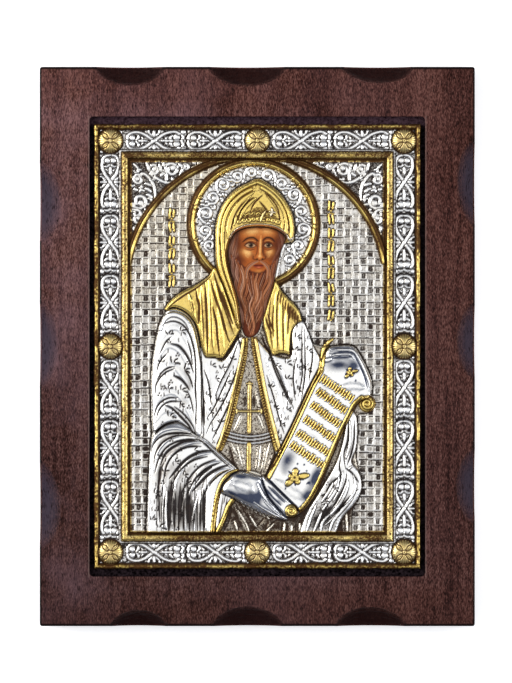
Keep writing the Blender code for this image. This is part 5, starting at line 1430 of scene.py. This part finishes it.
def makeFace(panel):
    # an own, general face on even thirds: brow, foot of the nose, chin
    stroke, dab, wash = panel.stroke, panel.dab, panel.wash
    panel.colour[:] = linear(painting["hair"])
    rng = np.random.RandomState(90)
    # hair that falls behind the cheeks
    for s in (-1, 1):
        for i in range(6):
            u = s * (14 - 0.8 * i)
            w = 0.7 + 0.4 * (i % 2)
            panel.lock((u * 0.84, 59 - i, u + w, 52.5 - i, u * 0.93 - w, 46 - i, u * 0.98 + w, 39.5 - i,
                u * 0.84 - w, 33 - i, u * 0.8 + w, 26 - i, u * 0.62, 19 - i), 1.35,
                "hairBody" if i % 2 else "beardBody", "strand")
    # skin
    wash((-8.6, 61.4, -9.8, 57, -10.1, 51, -9.6, 46, -8.4, 42, -6.9, 38.6, -4, 36.6, 0, 36, 4.2, 36.6, 6.9,
        38.8, 8.4, 42.4, 9.4, 46.6, 10, 51, 9.7, 57, 8.4, 61.4, 0, 62), "skin")
    for row in painting["modelling"]:
        dab(*row)
    for y, reach in ((57.3, 5.6), (58.8, 4.8)):
        stroke((-reach, y - 0.5, -2, y + 0.2, 0, y - 0.3, 2, y + 0.2, reach, y - 0.5), 0.5, "shadow", 0.7)
        stroke((-reach, y - 1, -2, y - 0.3, 0, y - 0.8, 2, y - 0.3, reach, y - 1), 0.45, "light", 0.6)
    # fine light hatching over cheeks and brow
    for s in (-1, 1):
        for i in range(6):
            stroke((s * (7.6 - 0.25 * i), 46.8 - 0.55 * i, s * 5.8, 45.9 - 0.5 * i, s * (3.6 + 0.2 * i),
                45.7 - 0.62 * i), 0.24, "pale", 0.62 if s < 0 else 0.4)
        for i in range(4):
            stroke((s * 6.4, 55 + 0.5 * i, s * 3.8, 55.7 + 0.5 * i, s * 1.2, 55 + 0.5 * i), 0.22, "pale",
                0.5)
    # eyes, one eye's width apart, under strong brows
    for s in (-1, 1):
        c = 4.5 * s + 0.2
        stroke((c - 3.3 * s, 51, c - 1.2 * s, 52.5, c + 1.6 * s, 52.2, c + 3.8 * s, 50.4), 1.25, "line",
            0.97, (0.8, 0.2))
        stroke((c - 2.6 * s, 50.6, c, 51.2, c + 2.8 * s, 50.2), 0.6, "light", 0.7)
        wash((c - 2.3, 48.9, c - 1, 49.8, c + 0.8, 49.8, c + 2.3, 48.9, c + 0.9, 47.9, c - 0.9, 47.9),
            "eyeWhite", 0.35)
        dab(c + 0.2, 48.95, 1.25, 1.2, 0, "pupil", 1, 6)
        dab(c - 0.35, 49.3, 0.2, 0.2, 0, "glint")
        stroke((c - 2.8, 48.6, c - 1.2, 49.95, c + 0.9, 49.95, c + 2.8, 48.6), 0.72, "line", 1, (0.5, 0.5))
        stroke((c - 2.3, 48.4, c - 0.9, 47.7, c + 0.9, 47.7, c + 2.4, 48.4), 0.42, "line")
        stroke((c - 2.4, 47.2, c, 46.5, c + 2.4, 47.1), 0.55, "shadow", 0.85)
        stroke((c - 2.2, 46.8, c, 46, c + 2.2, 46.6), 0.4, "light", 0.5)
        stroke((c - 2.4, 50.3, c, 50.85, c + 2.5, 50.2), 0.3, "line", 0.75)
    # nose
    stroke((1.9, 51.6, 2, 47, 2.7, 43.4), 1.5, "shadow", 0.85, (0.5, 0.8), 1.1)
    stroke((0.3, 53.4, 0.4, 48, 0.6, 43.4), 1.4, "light", 0.95, (0.5, 0.9), 1.2)
    stroke((0.2, 52, 0.3, 47, 0.5, 44), 0.62, "pale", 0.95, (0.4, 0.8))
    stroke((-1.9, 51.4, -1.1, 48.2, -1.2, 45, -2, 43.2), 0.5, "line", 0.8)
    stroke((1.5, 50.4, 1.6, 47, 2.1, 44.2), 0.42, "line", 0.7)
    dab(0.6, 43.3, 1.3, 1.05, 0, "light", 0.95)
    dab(0.4, 43.6, 0.6, 0.5, 0, "pale", 1)
    for u in (-1.6, 2.7):
        dab(u, 42.9, 0.85, 0.8, 0, "skin", 0.85)
    stroke((-2.5, 43.6, -2.7, 42.4, -1.3, 42, 0.5, 41.6, 2.4, 42, 3.6, 42.4, 3.4, 43.7), 0.5, "line", 0.95,
        (0.5, 0.5))
    for u in (-0.8, 2):
        dab(u, 42.3, 0.55, 0.32, 0, "line", 1, 4)
    # beard
    wash((-10, 44, -8.6, 40.6, -6.6, 38.8, -3.8, 37, -2.8, 35.6, 0, 35, 3.2, 35.6, 4.2, 37, 6.8, 39, 8.6,
        41, 9.6, 44, 11, 36, 9.4, 26, 6.4, 15, 2, 4, -3, 2, -7, 8, -9, 18, -11.6, 30, -12.4, 38), "beard",
        1, 0.97)
    dab(0.2, 36.4, 1.7, 0.9, 0, "light", 0.6)
    # the long hair hangs on beside it, down to the shoulder
    for s in (-1, 1):
        for i in range(4):
            u = s * (13 - 1.15 * i)
            w = 0.8 - 1.6 * (i % 2)
            panel.lock((u * 0.98, 44 - i, u * 0.94 + w, 38 - i, u * 0.82 - w, 31.5 - i, u * 0.76 + w,
                25 - i, u * 0.62 - w, 18.5 - i, u * 0.5, 12 - i), 1.7,
                "hairBody" if i % 2 == (s < 0) else "beardBody", "strand")
    # long locks combed down to a point, with finer hairs over them
    for i in (0, 10, 1, 9, 2, 8, 3, 7, 4, 6, 5):
        t = -1 + 2 * (i + 0.5) / 11
        top, foot = 35 + 6.4 * abs(t) ** 1.5, 3.4 + 9 * abs(t) ** 1.4 + 1.6 * (i % 2)
        far = 1 - 0.35 * max(t, 0)
        tone = ("beardBody", "beardLight", "beardBody", "beard")[i % 4]
        panel.combed(t, top, foot, 0.95, 0.8 * i, 2.3, "beardDark", 0.95)
        panel.combed(t, top, foot, 0.95, 0.8 * i, 1.3, tone, 0.95 * far)
        for shift, edge in ((-0.05, "strand" if i % 3 == 1 else "beardLight"), (0, "beardDark"),
                (0.045, "beardLight")):
            panel.combed(t + shift, top - 1, foot + 1.5, 0.95, 0.8 * i, 0.3, edge, 0.75 * far)
    for i in range(22):
        t = rng.uniform(-0.9, 0.9)
        top = rng.uniform(12, 34 + 5 * abs(t))
        foot = max(4 + 9 * abs(t), top - rng.uniform(7, 13))
        panel.combed(t, top, foot, 0.9, rng.uniform(0, 6), 0.34, ("strand", "beardDark",
            "beardLight")[i % 3], rng.uniform(0.5, 0.85) * (1 - 0.4 * max(t, 0)))
    # mouth and moustache
    dab(0.2, 38.9, 3.2, 1.1, 0, "shadow", 0.9)
    wash((-2.5, 39.1, -1.2, 39.7, 0.1, 39.5, 1.5, 39.7, 2.9, 39.1, 1.6, 38.1, 0.2, 37.6, -1.2, 38.1),
        "lips", 0.5, 0.97)
    stroke((-2.8, 39.1, -1.2, 39.05, 0.2, 38.9, 1.6, 39.05, 3.2, 39.1), 0.42, "line", 0.95, (0.5, 0.5))
    dab(0.2, 38.25, 1.2, 0.34, 0, "lipLight", 0.85)
    for s in (-1, 1):
        for i in range(7):
            d = i * 0.36
            stroke((0.3 + 0.5 * s, 41.6 - d * 0.35, 0.3 + 3 * s, 40.9 - d * 0.8, 0.3 + (5.6 - d * 0.3) * s,
                38.7 - d * 1.1, 0.3 + (6.6 - d * 0.9) * s, 34.6 - d * 1.5), 0.5, ("beardDark", "beardLight",
                "beardBody", "beardDark", "strand")[i % 5], 0.85, (0.5, 0.2))
    # darker towards the metal
    at, far, _, _, _ = panel.trace(faceOutline, 2.6, 6, True)
    panel.colour[at] *= (1 - 0.7 * unit(1 - far / 2) ** 1.5)[..., None]
    print("face painted")


def makePanel():
    p = painting
    line = np.reshape(faceOutline, (-1, 2))
    panel = Painting(line.min(0) - 0.5, line.max(0) + 0.5, p["cell"])
    makeFace(panel)
    x, y = panel.axes()
    panel.z += p["level"] + p["dome"] * unit(1 - ((x + 0.5) / 16) ** 2 - ((y - 36) / 34) ** 2)
    piece = makeTile("painting", panel, 0, panel.nx - 1, 0, panel.ny - 1, p["inset"])
    egg = Recipe("old egg paint under varnish")
    where = egg.place()
    tint = egg.attribute("tint", "Color")
    mottle = egg.noise(where, 900, 4)
    crack = egg.node("ShaderNodeTexVoronoi", {"feature": "DISTANCE_TO_EDGE"}, {"Vector": where,
        "Scale": 420})
    split = egg.node("ShaderNodeMapRange", {}, {0: crack, 1: 0, 2: 0.05, 3: 1, 4: 0})
    base = egg.mix(0.5, tint, egg.grey(0.55 + mottle * 0.9), "MULTIPLY")
    base = egg.mix((split * (mottle - 0.25)).clamp() * 0.8, base, (0.03, 0.012, 0.008))
    egg.surface({"Base Color": base, "Roughness": 0.45 + mottle * 0.2, "Specular IOR Level": 0.12,
        "Normal": egg.bump(0.35, 0.00006, mottle * 0.6 - split), "Coat Weight": 0.04,
        "Coat Roughness": 0.12})
    piece.data.materials.append(egg.material)
    belongs(piece, "painted_face")
    print("painting set in")


def trimToOpening(bm, sheet, inset):
    # with no inset the opening is cut out; with one, only what is inside the opening stays
    line = smoothLine(faceOutline, 12, True)
    if inset:
        ahead, back = np.roll(line[:-1], -1, 0), np.roll(line[:-1], 1, 0)
        run = ahead - back
        run /= np.hypot(*run.T)[:, None]
        area = np.sum(line[:-1, 0] * ahead[:, 1] - ahead[:, 0] * line[:-1, 1])
        inward = np.stack([-run[:, 1], run[:, 0]], 1) * (1 if area > 0 else -1)
        line = line[:-1] + inward * inset
        line = np.concatenate([line, line[:1]])
    middles = np.array([face.calc_center_median()[:2] for face in bm.faces]) / mm
    gone = [face for face, hit in zip(bm.faces, insideLine(middles, line)) if hit != bool(inset)]
    bmesh.ops.delete(bm, geom=gone, context="FACES")
    a, run = line[:-1], line[1:] - line[:-1]
    for vert in [v for v in bm.verts if v.is_boundary]:
        q = np.array(vert.co[:2]) / mm
        t = unit(np.sum((q - a) * run, 1) / np.maximum(np.sum(run * run, 1), 1e-9))
        foot = a + run * t[:, None]
        gap = np.hypot(*(foot - q).T)
        k = gap.argmin()
        if gap[k] < (sheet.dx + sheet.dy) * 0.8:
            vert.co.x, vert.co.y = foot[k] * mm


def makeTile(name, sheet, i0, i1, j0, j1, inset=None):
    # a closed piece of the net's cells i0..i1, j0..j1; an inset trims it to the opening
    cover = not inset
    nx, ny = i1 - i0, j1 - j0
    bm = bmesh.new()
    bmesh.ops.create_grid(bm, x_segments=nx, y_segments=ny, size=0.5)
    cell = bm.verts.layers.int.new("cell")
    xs, ys = sheet.x * mm, sheet.y * mm
    for vert in bm.verts:
        i = i0 + int(round((vert.co.x + 0.5) * nx))
        j = j0 + int(round((vert.co.y + 0.5) * ny))
        vert[cell] = j * sheet.nx + i
        sx, sy = edgeShift(sheet.x[i], sheet.y[j]) if cover else (0, 0)
        vert.co = xs[i] + sx, ys[j] + sy, groundZ + sheet.z[j, i] * mm
    if inset is not None:
        trimToOpening(bm, sheet, inset)
    rim = [edge for edge in bm.edges if edge.is_boundary]
    made = bmesh.ops.extrude_edge_only(bm, edges=rim)["geom"]
    feet = {g for g in made if isinstance(g, bmesh.types.BMVert)}
    for vert in feet:
        vert.co.z = coverLow.z if cover else groundZ + 0.3 * mm
    loop = [g for g in made if isinstance(g, bmesh.types.BMEdge) and feet.issuperset(g.verts)]
    bmesh.ops.triangle_fill(bm, use_beauty=True, edges=loop)
    for face in bm.faces:
        face.material_index = 0 if feet.isdisjoint(face.verts) else 1
    piece = finishPiece(name, bm)
    mesh = piece.data
    flat = np.zeros(len(mesh.polygons), np.int32)
    mesh.polygons.foreach_get("material_index", flat)
    mesh.polygons.foreach_set("use_smooth", flat == 0)
    mesh.polygons.foreach_set("material_index", np.zeros_like(flat))
    index = np.zeros(len(mesh.vertices), np.int32)
    mesh.attributes["cell"].data.foreach_get("value", index)
    mesh.attributes.remove(mesh.attributes["cell"])
    if cover:
        for key in ("gilt", "dark", "polish"):
            layer = mesh.attributes.new(key, "FLOAT", "POINT")
            layer.data.foreach_set("value", getattr(sheet, key).ravel()[index].astype(np.float32))
    else:
        layer = mesh.color_attributes.new("tint", "FLOAT_COLOR", "POINT")
        tint = np.ones((len(index), 4), np.float32)
        tint[:, :3] = sheet.colour.reshape(-1, 3)[index]
        layer.data.foreach_set("color", tint.ravel())
    # normals from the whole net, so that neighbouring tiles shade as one
    slopeY, slopeX = np.gradient(sheet.z, sheet.dy, sheet.dx)
    normal = np.stack([-slopeX.ravel()[index], -slopeY.ravel()[index], np.ones(len(index))], 1)
    normal /= np.sqrt((normal ** 2).sum(1))[:, None]
    corner = np.zeros(len(mesh.loops), np.int32)
    mesh.loops.foreach_get("vertex_index", corner)
    counts = np.zeros(len(mesh.polygons), np.int32)
    mesh.polygons.foreach_get("loop_total", counts)
    onTop = np.repeat(flat == 0, counts)
    mesh.normals_split_custom_set(np.where(onTop[:, None], normal[corner], 0).tolist())
    return piece


def insideLine(points, line):
    hit = np.zeros(len(points), bool)
    for a, b in zip(line[:-1], line[1:]):
        if a[1] != b[1]:
            low, high = (a, b) if a[1] < b[1] else (b, a)
            rows = (points[:, 1] >= low[1]) & (points[:, 1] < high[1])
            cross = a[0] + (points[:, 1] - a[1]) * (b[0] - a[0]) / (b[1] - a[1])
            hit ^= rows & (points[:, 0] < cross)
    return hit


def edgeShift(x, y):
    # the cut edge of the sheet wanders a little
    def pull(v, other, start, slow, fast):
        over = abs(v) - start
        wave = 0.16 + 0.16 * math.sin(other * slow + v) + 0.1 * math.sin(other * fast)
        return -math.copysign(over * wave, v) * mm if over > 0 else 0

    return pull(x, y, metal["edgeX"], 0.31, 0.83), pull(y, x, metal["edgeY"], 0.37, 0.9)


metal = dict(
    cell=0.285, splitX=65.8, splitY=94.2, strips=(-45.8, 2.6, 61.6), edgeX=78, edgeY=106.5,
    cloud=55, mottle=420, grain=2200,
    silver=(0.95, 0.945, 0.93), gold=(0.9, 0.67, 0.19), warmth=(1, 0.93, 0.85),
    # dark colours: patina on silver and tarnish on gilt, both also standing for painted shade; sheen is a
    # painted dark bluish reflection on polished silver
    patinaAndShade=(0.02, 0.016, 0.016), tarnishAndShade=(0.095, 0.042, 0.009), sheen=(0.05, 0.062, 0.105),
)


def silverMaterial():
    m = metal
    paint = Recipe("embossed silver and gilt")
    where = paint.place()
    gilt, dark, polish = [paint.attribute(key) for key in ("gilt", "dark", "polish")]
    cloud = paint.noise(where, m["cloud"], 4)
    mottle = paint.noise(where, m["mottle"], 5, 0.6)
    grain = paint.noise(where, m["grain"], 3, 0.6)
    wear = (gilt + (mottle - 0.5) * 0.35 + (cloud - 0.5) * 0.25).clamp()
    old = (dark * 1.05 + (grain - 0.5) * 0.22 + (mottle - 0.5) * 0.16 - 0.03 + (cloud - 0.5) * 0.1).clamp()
    polished = ((polish - 0.6) * 4).clamp()
    bright = paint.mix(wear, m["silver"], m["gold"])
    # the dark colour: patina and tarnish with painted shade, and on polished silver a painted reflection
    dull = paint.mix(wear, paint.mix(polished, m["patinaAndShade"], m["sheen"]), m["tarnishAndShade"])
    base = paint.mix(old, bright, dull)
    base = paint.mix(old * (1 - polished), base, paint.mix(1, base, m["warmth"], "MULTIPLY"))
    rough = 0.3 - polish * 0.14 + old * 0.3 + (mottle - 0.5) * 0.1
    paint.surface({"Base Color": base, "Metallic": 1 - old * 0.25, "Roughness": rough.clamp(),
        "Normal": paint.bump(0.35, 0.00008, grain * 0.6 + mottle)})
    return paint.material


def ageSheet(sheet):
    # handling rounds the tops and leaves them bright; soot stays in the hollows, and the steep slopes get
    # painted shade
    z = sheet.z
    z += 0.1 * (blots(z.shape, 46, 81) - 0.5) + 0.05 * (blots(z.shape, 190, 82) - 0.5)
    hollow = boxBlur(boxBlur(z, 2), 2) - z
    wide = boxBlur(boxBlur(z, 6), 6) - z
    slopeY, slopeX = np.gradient(z, sheet.dy, sheet.dx)
    # painted shade on the steep slopes
    steep = unit((np.hypot(slopeX, slopeY) - 1.1) / 1.6)
    sheet.dark += 0.9 * np.clip(hollow, -0.4, 0.8) + 0.14 * np.clip(wide, -0.5, 1.5) \
        + 0.3 * boxBlur(steep, 1)
    gold = sheet.gilt * (0.16 * blots(z.shape, 150, 83) + 0.26 * (blots(z.shape, 430, 84) - 0.35))
    sheet.dark = unit((sheet.dark + gold - 0.05) / 0.68)
    np.clip(z, -0.9, 5.15, out=z)
    # the lip of the opening
    at, far, _, _, _ = sheet.trace(faceOutline, 1.6, 6, True)
    z[at] = np.maximum(z[at] - 0.35 * unit(1 - far / 0.7) ** 2, np.where(far < 0.9, 1.6, -0.9))
    sheet.soilAndShade(at, 0.55 * unit(1 - far / 0.5))


def makeCover():
    m = metal
    sheet = Sheet((coverLow.x / mm, coverLow.y / mm), (coverHigh.x / mm, coverHigh.y / mm), m["cell"])
    for step in (makeWeave, makeSpandrels, makeArch, makeHalo, makeMarks, makeTunic, makeRightSleeve,
            makeRobes, makeCapes, makeHood, makeLeftArm, makeScroll, makeHand, makeBorder, ageSheet):
        step(sheet)
        print(step.__name__, "done")
    shine = silverMaterial()
    ix = [0, *[np.abs(sheet.x - v).argmin() for v in (-m["splitX"], m["splitX"])], sheet.nx - 1]
    iy = [0, *[np.abs(sheet.y - v).argmin() for v in (-m["splitY"], *m["strips"], m["splitY"])],
        sheet.ny - 1]
    # which splits of the net each tile runs between: left, right, low, high
    for name, left, right, low, high in (("border_bottom", 0, 3, 0, 1), ("border_top", 0, 3, 5, 6),
            ("border_left", 0, 1, 1, 5), ("border_right", 2, 3, 1, 5), ("field_foot", 1, 2, 1, 2),
            ("field_lower", 1, 2, 2, 3), ("field_middle", 1, 2, 3, 4), ("field_upper", 1, 2, 4, 5)):
        piece = makeTile(name, sheet, int(ix[left]), int(ix[right]), int(iy[low]), int(iy[high]),
            0 if name == "field_middle" else None)
        piece.data.materials.append(shine)
        belongs(piece, "silver_cover")
    print("cover made")


board = dict(
    edge=1.2, recessWide=162, recessTall=222, recessDeep=4, recessCorner=2, scallopDrop=11,
    scallops=[("top", -61.6, 17.8, 9.7, -2), ("top", -5, 19.8, 10.1, -2),
              ("top", 57, 18.6, 8.2, -7), ("bottom", -57, 14.5, 8.2, -2),
              ("bottom", -4.4, 18.2, 10, -1), ("bottom", 55.1, 18.1, 9.6, -4),
              ("left", 70.2, 21.2, 11.5, 5), ("left", 1.1, 22.1, 9.9, 1),
              ("left", -75.5, 22.7, 10.7, 6), ("right", 78.2, 21.8, 9, 3),
              ("right", 2.7, 19.3, 9.2, -1), ("right", -67, 19.2, 9.4, -2)],
)


def boxMesh(low, high):
    bm = bmesh.new()
    bmesh.ops.create_cube(bm, size=1)
    low, high = Vector(low), Vector(high)
    bmesh.ops.scale(bm, vec=high - low, verts=bm.verts)
    bmesh.ops.translate(bm, vec=(low + high) / 2, verts=bm.verts)
    return bm


def rotation(degrees, axis):
    return Matrix.Rotation(math.radians(degrees), 3, axis)


def scallopCutter(name, side, middle, half, depth, lean, thickness):
    # an oval hollow, as a gouge leaves it: long shallow strokes, run lengthwise
    drop = board["scallopDrop"] * 1.5
    reach, beyond = depth * 1.7, depth * 0.35
    above = drop * math.sqrt(max(0.01, 1 - ((depth + beyond) / reach) ** 2))
    longHalf = half / math.sqrt(1 - (beyond / reach) ** 2 - (above / drop) ** 2)
    bm = bmesh.new()
    bmesh.ops.create_uvsphere(bm, u_segments=128, v_segments=72, radius=1)
    bmesh.ops.rotate(bm, verts=bm.verts, matrix=rotation(90, "Y"))
    for vert in bm.verts:
        x, y, z = vert.co
        turn = math.atan2(z, y)
        ripple = 0.016 * math.sin(turn * 46 + 3 * math.sin(x * 3.1 + middle)) \
            + 0.008 * math.sin(turn * 19 + x * 4 + middle)
        vert.co = vert.co * (1 - abs(ripple) * (1 - x * x))
    bmesh.ops.scale(bm, vec=(longHalf, reach, drop), verts=bm.verts)
    turn = {"top": 0, "bottom": 180, "left": 90, "right": -90}[side]
    bmesh.ops.rotate(bm, verts=bm.verts, matrix=rotation(turn + lean, "Z"))
    edge = {"top": boardHigh.y, "bottom": -boardLow.y, "left": -boardLow.x, "right": boardHigh.x}[side] / mm
    out = edge + beyond
    place = {"top": (middle, out), "bottom": (middle, -out), "left": (-out, middle),
        "right": (out, middle)}[side]
    bmesh.ops.translate(bm, vec=(*place, thickness + above), verts=bm.verts)
    bmesh.ops.scale(bm, vec=(mm, mm, mm), verts=bm.verts)
    return finishPiece(name, bm)


def makeBoard():
    b = board
    bm = boxMesh(boardLow, boardHigh)
    bmesh.ops.bevel(bm, geom=bm.edges[:], affect="EDGES", offset=b["edge"] * mm, segments=4, profile=0.5,
        material=-1)
    piece = finishPiece("board", bm, smooth=False)
    top = boardHigh.z
    w, h = b["recessWide"] / 2 * mm, b["recessTall"] / 2 * mm
    bm = boxMesh((-w, -h, top - b["recessDeep"] * mm), (w, h, top + 5 * mm))
    upright = [e for e in bm.edges if abs(e.verts[0].co.z - e.verts[1].co.z) > 1 * mm]
    bmesh.ops.bevel(bm, geom=upright, affect="EDGES", offset=b["recessCorner"] * mm, segments=6,
        profile=0.5, material=-1)
    cutters = [finishPiece("recess cutter", bm)]
    for i, row in enumerate(b["scallops"]):
        cutters.append(scallopCutter("scallop %d" % i, *row, top / mm))
    for cutter in cutters:
        cut = piece.modifiers.new(cutter.name, "BOOLEAN")
        cut.operation, cut.solver, cut.object = "DIFFERENCE", "EXACT", cutter
    graph = bpy.context.evaluated_depsgraph_get()
    done = bpy.data.meshes.new_from_object(piece.evaluated_get(graph))
    piece.modifiers.clear()
    piece.data = done
    for cutter in cutters:
        bpy.data.objects.remove(cutter)
    bm = bmesh.new()
    bm.from_mesh(done)
    bmesh.ops.remove_doubles(bm, verts=bm.verts, dist=0.00001)
    bmesh.ops.dissolve_limit(bm, angle_limit=math.radians(0.5), verts=bm.verts, edges=bm.edges)
    bmesh.ops.triangulate(bm, faces=bm.faces[:])
    bmesh.ops.recalc_face_normals(bm, faces=bm.faces[:])
    for face in bm.faces:
        face.smooth = True
        x, y, z = face.calc_center_median()
        deep = abs(x) < w + 0.1 * mm and abs(y) < h + 0.1 * mm and z < top - 0.05 * mm
        face.material_index = 1 if deep else 0
    for edge in bm.edges:
        if len(edge.link_faces) == 2 and edge.calc_face_angle(0) > math.radians(24):
            edge.smooth = False
    done.materials.clear()
    done.materials.append(woodMaterial())
    done.materials.append(recessMaterial())
    bm.to_mesh(done)
    bm.free()
    belongs(piece, "wooden_board")
    print("board made")


wood = dict(
    fibre=520, speck=2300, broad=42, pores=1900, cloud=26,
    deep=(0.016, 0.0042, 0.003), mid=(0.078, 0.03, 0.025), pale=(0.195, 0.095, 0.082),
    # the first colour is a painted purplish sheen
    leftSheen=(0.18, 0.1, 0.115), thick=(0.8, 0.7, 0.64), pore=(0.008, 0.003, 0.003),
    # worn is a painted highlight along the recess arris; arris is painted shade on the outer arris
    worn=(0.2, 0.14, 0.12), arris=(0.0035, 0.001, 0.001),
    # the hollows in painted shade, the side ones with a cooler painted reflection
    sideHollowShade=(0.044, 0.034, 0.05), endHollowShade=(0.009, 0.0018, 0.0016),
    # the recess in soot with painted shade, paler at its top end
    sootAndShade=((0.35, (0.0002, 0.0001, 0.0002)), (0.7, (0.03, 0.02, 0.024))),
    paleSootAndShade=((0.3, (0.01, 0.004, 0.006)), (0.7, (0.082, 0.046, 0.058))),
)


def woodMaterial():
    w = wood
    paint = Recipe("dark oiled walnut")
    fibre = paint.noise(paint.place((1, 0.05, 0.35)), w["fibre"], 5, 0.6, 0.15)
    speck = paint.noise(paint.place((1, 0.34, 0.6)), w["speck"], 2, 0.5)
    broad = paint.noise(paint.place((1, 0.16, 1)), w["broad"], 4, 0.55, 0.6)
    pore = paint.noise(paint.place((1, 0.16, 1)), w["pores"], 3)
    cloud = paint.noise(paint.place(), w["cloud"], 4, 0.6)
    tone = (0.48 + (fibre - 0.5) * 0.9 + (speck - 0.5) * 2 + (broad - 0.5) * 0.75).clamp()
    base = paint.ramp(tone, ((0.08, w["deep"]), (0.48, w["mid"]), (0.92, w["pale"])))
    x, y, z = paint.apart(paint.place())
    farX, farY = abs(x), abs(y)
    # painted sheen: purplish grey patches, strongest towards the left
    leftSheen = (((cloud - 0.42) * 3.4).clamp() * (0.3 - x * 2.4)).clamp()
    base = paint.mix(leftSheen * (0.55 + speck * 0.9), base, w["leftSheen"])
    base = paint.mix(1, base, paint.grey(1 + y * (1.7 - x * 7)), "MULTIPLY")
    # darker and redder towards the right and the top, and along both ends
    thick = (0.3 + x * 5.5 + y * 3 + ((y - 0.112) * 60).clamp() + ((-0.112 - y) * 60).clamp() * 1.3).clamp()
    base = paint.mix(thick, base, paint.mix(1, base, w["thick"], "MULTIPLY"))
    # the gouged hollows are painted in shade, near black at the top and foot, and those at the sides in a
    # cooler painted reflection
    below = boardHigh.z - 0.0002 - z
    hollow = (below * 230).clamp() ** 0.8 * ((boardHigh.x - 0.0005 - farX) * 2500).clamp() \
        * ((boardHigh.y - 0.0005 - farY) * 2500).clamp()
    ends = ((farY - 0.119) * 600).clamp()
    hollow = (hollow + (below * 1600).clamp() * ends * 0.5).clamp()
    base = paint.mix(hollow * 0.9, base, paint.mix(ends, w["sideHollowShade"], w["endHollowShade"]))
    # painted shade along the outer arris
    rim = ((farX - boardHigh.x + 0.0012) * 1600).clamp() \
        + ((farY - boardHigh.y + 0.0016) * 1400).clamp()
    rim = rim * ((z - boardHigh.z + 0.0016) * 1600).clamp()
    base = paint.mix(rim.clamp() * 0.95, base, w["arris"])
    holes = ((pore - 0.55) * 9).clamp()
    base = paint.mix(holes * 0.85, base, w["pore"])
    # a painted highlight along the rounded arris of the recess
    lip = (0.9 - abs(farX * 1000 - board["recessWide"] / 2 - 0.35) * 2.4).clamp() \
        * ((board["recessTall"] / 2 + 0.6 - farY * 1000) * 3).clamp()
    base = paint.mix(lip * 0.6, base, w["worn"])
    height = fibre * 0.4 + speck * 0.5 - holes * 0.8 + broad * 0.3
    paint.surface({"Base Color": base, "Roughness": 0.4 + fibre * 0.24 + holes * 0.2,
        "Specular IOR Level": 0.05, "Normal": paint.bump(0.5, 0.00025, height)})
    return paint.material


def recessMaterial():
    paint = Recipe("sooty shaded recess")
    where = paint.place()
    sootAndShade = paint.noise(where, 900, 4)
    y = paint.apart(where)[1]
    # soot with painted shade: near black in the recess, paler towards its top end
    high = (y * 1000 - board["recessTall"] / 2 + 5).clamp()
    base = paint.mix(high, paint.ramp(sootAndShade, wood["sootAndShade"]), paint.ramp(sootAndShade, wood["paleSootAndShade"]))
    paint.surface({"Base Color": base, "Roughness": 0.6 + sootAndShade * 0.2, "Specular IOR Level": 0,
        "Normal": paint.bump(0.5, 0.0002, sootAndShade)})
    return paint.material


makeStage()
makeBoard()
makeCover()
makePanel()
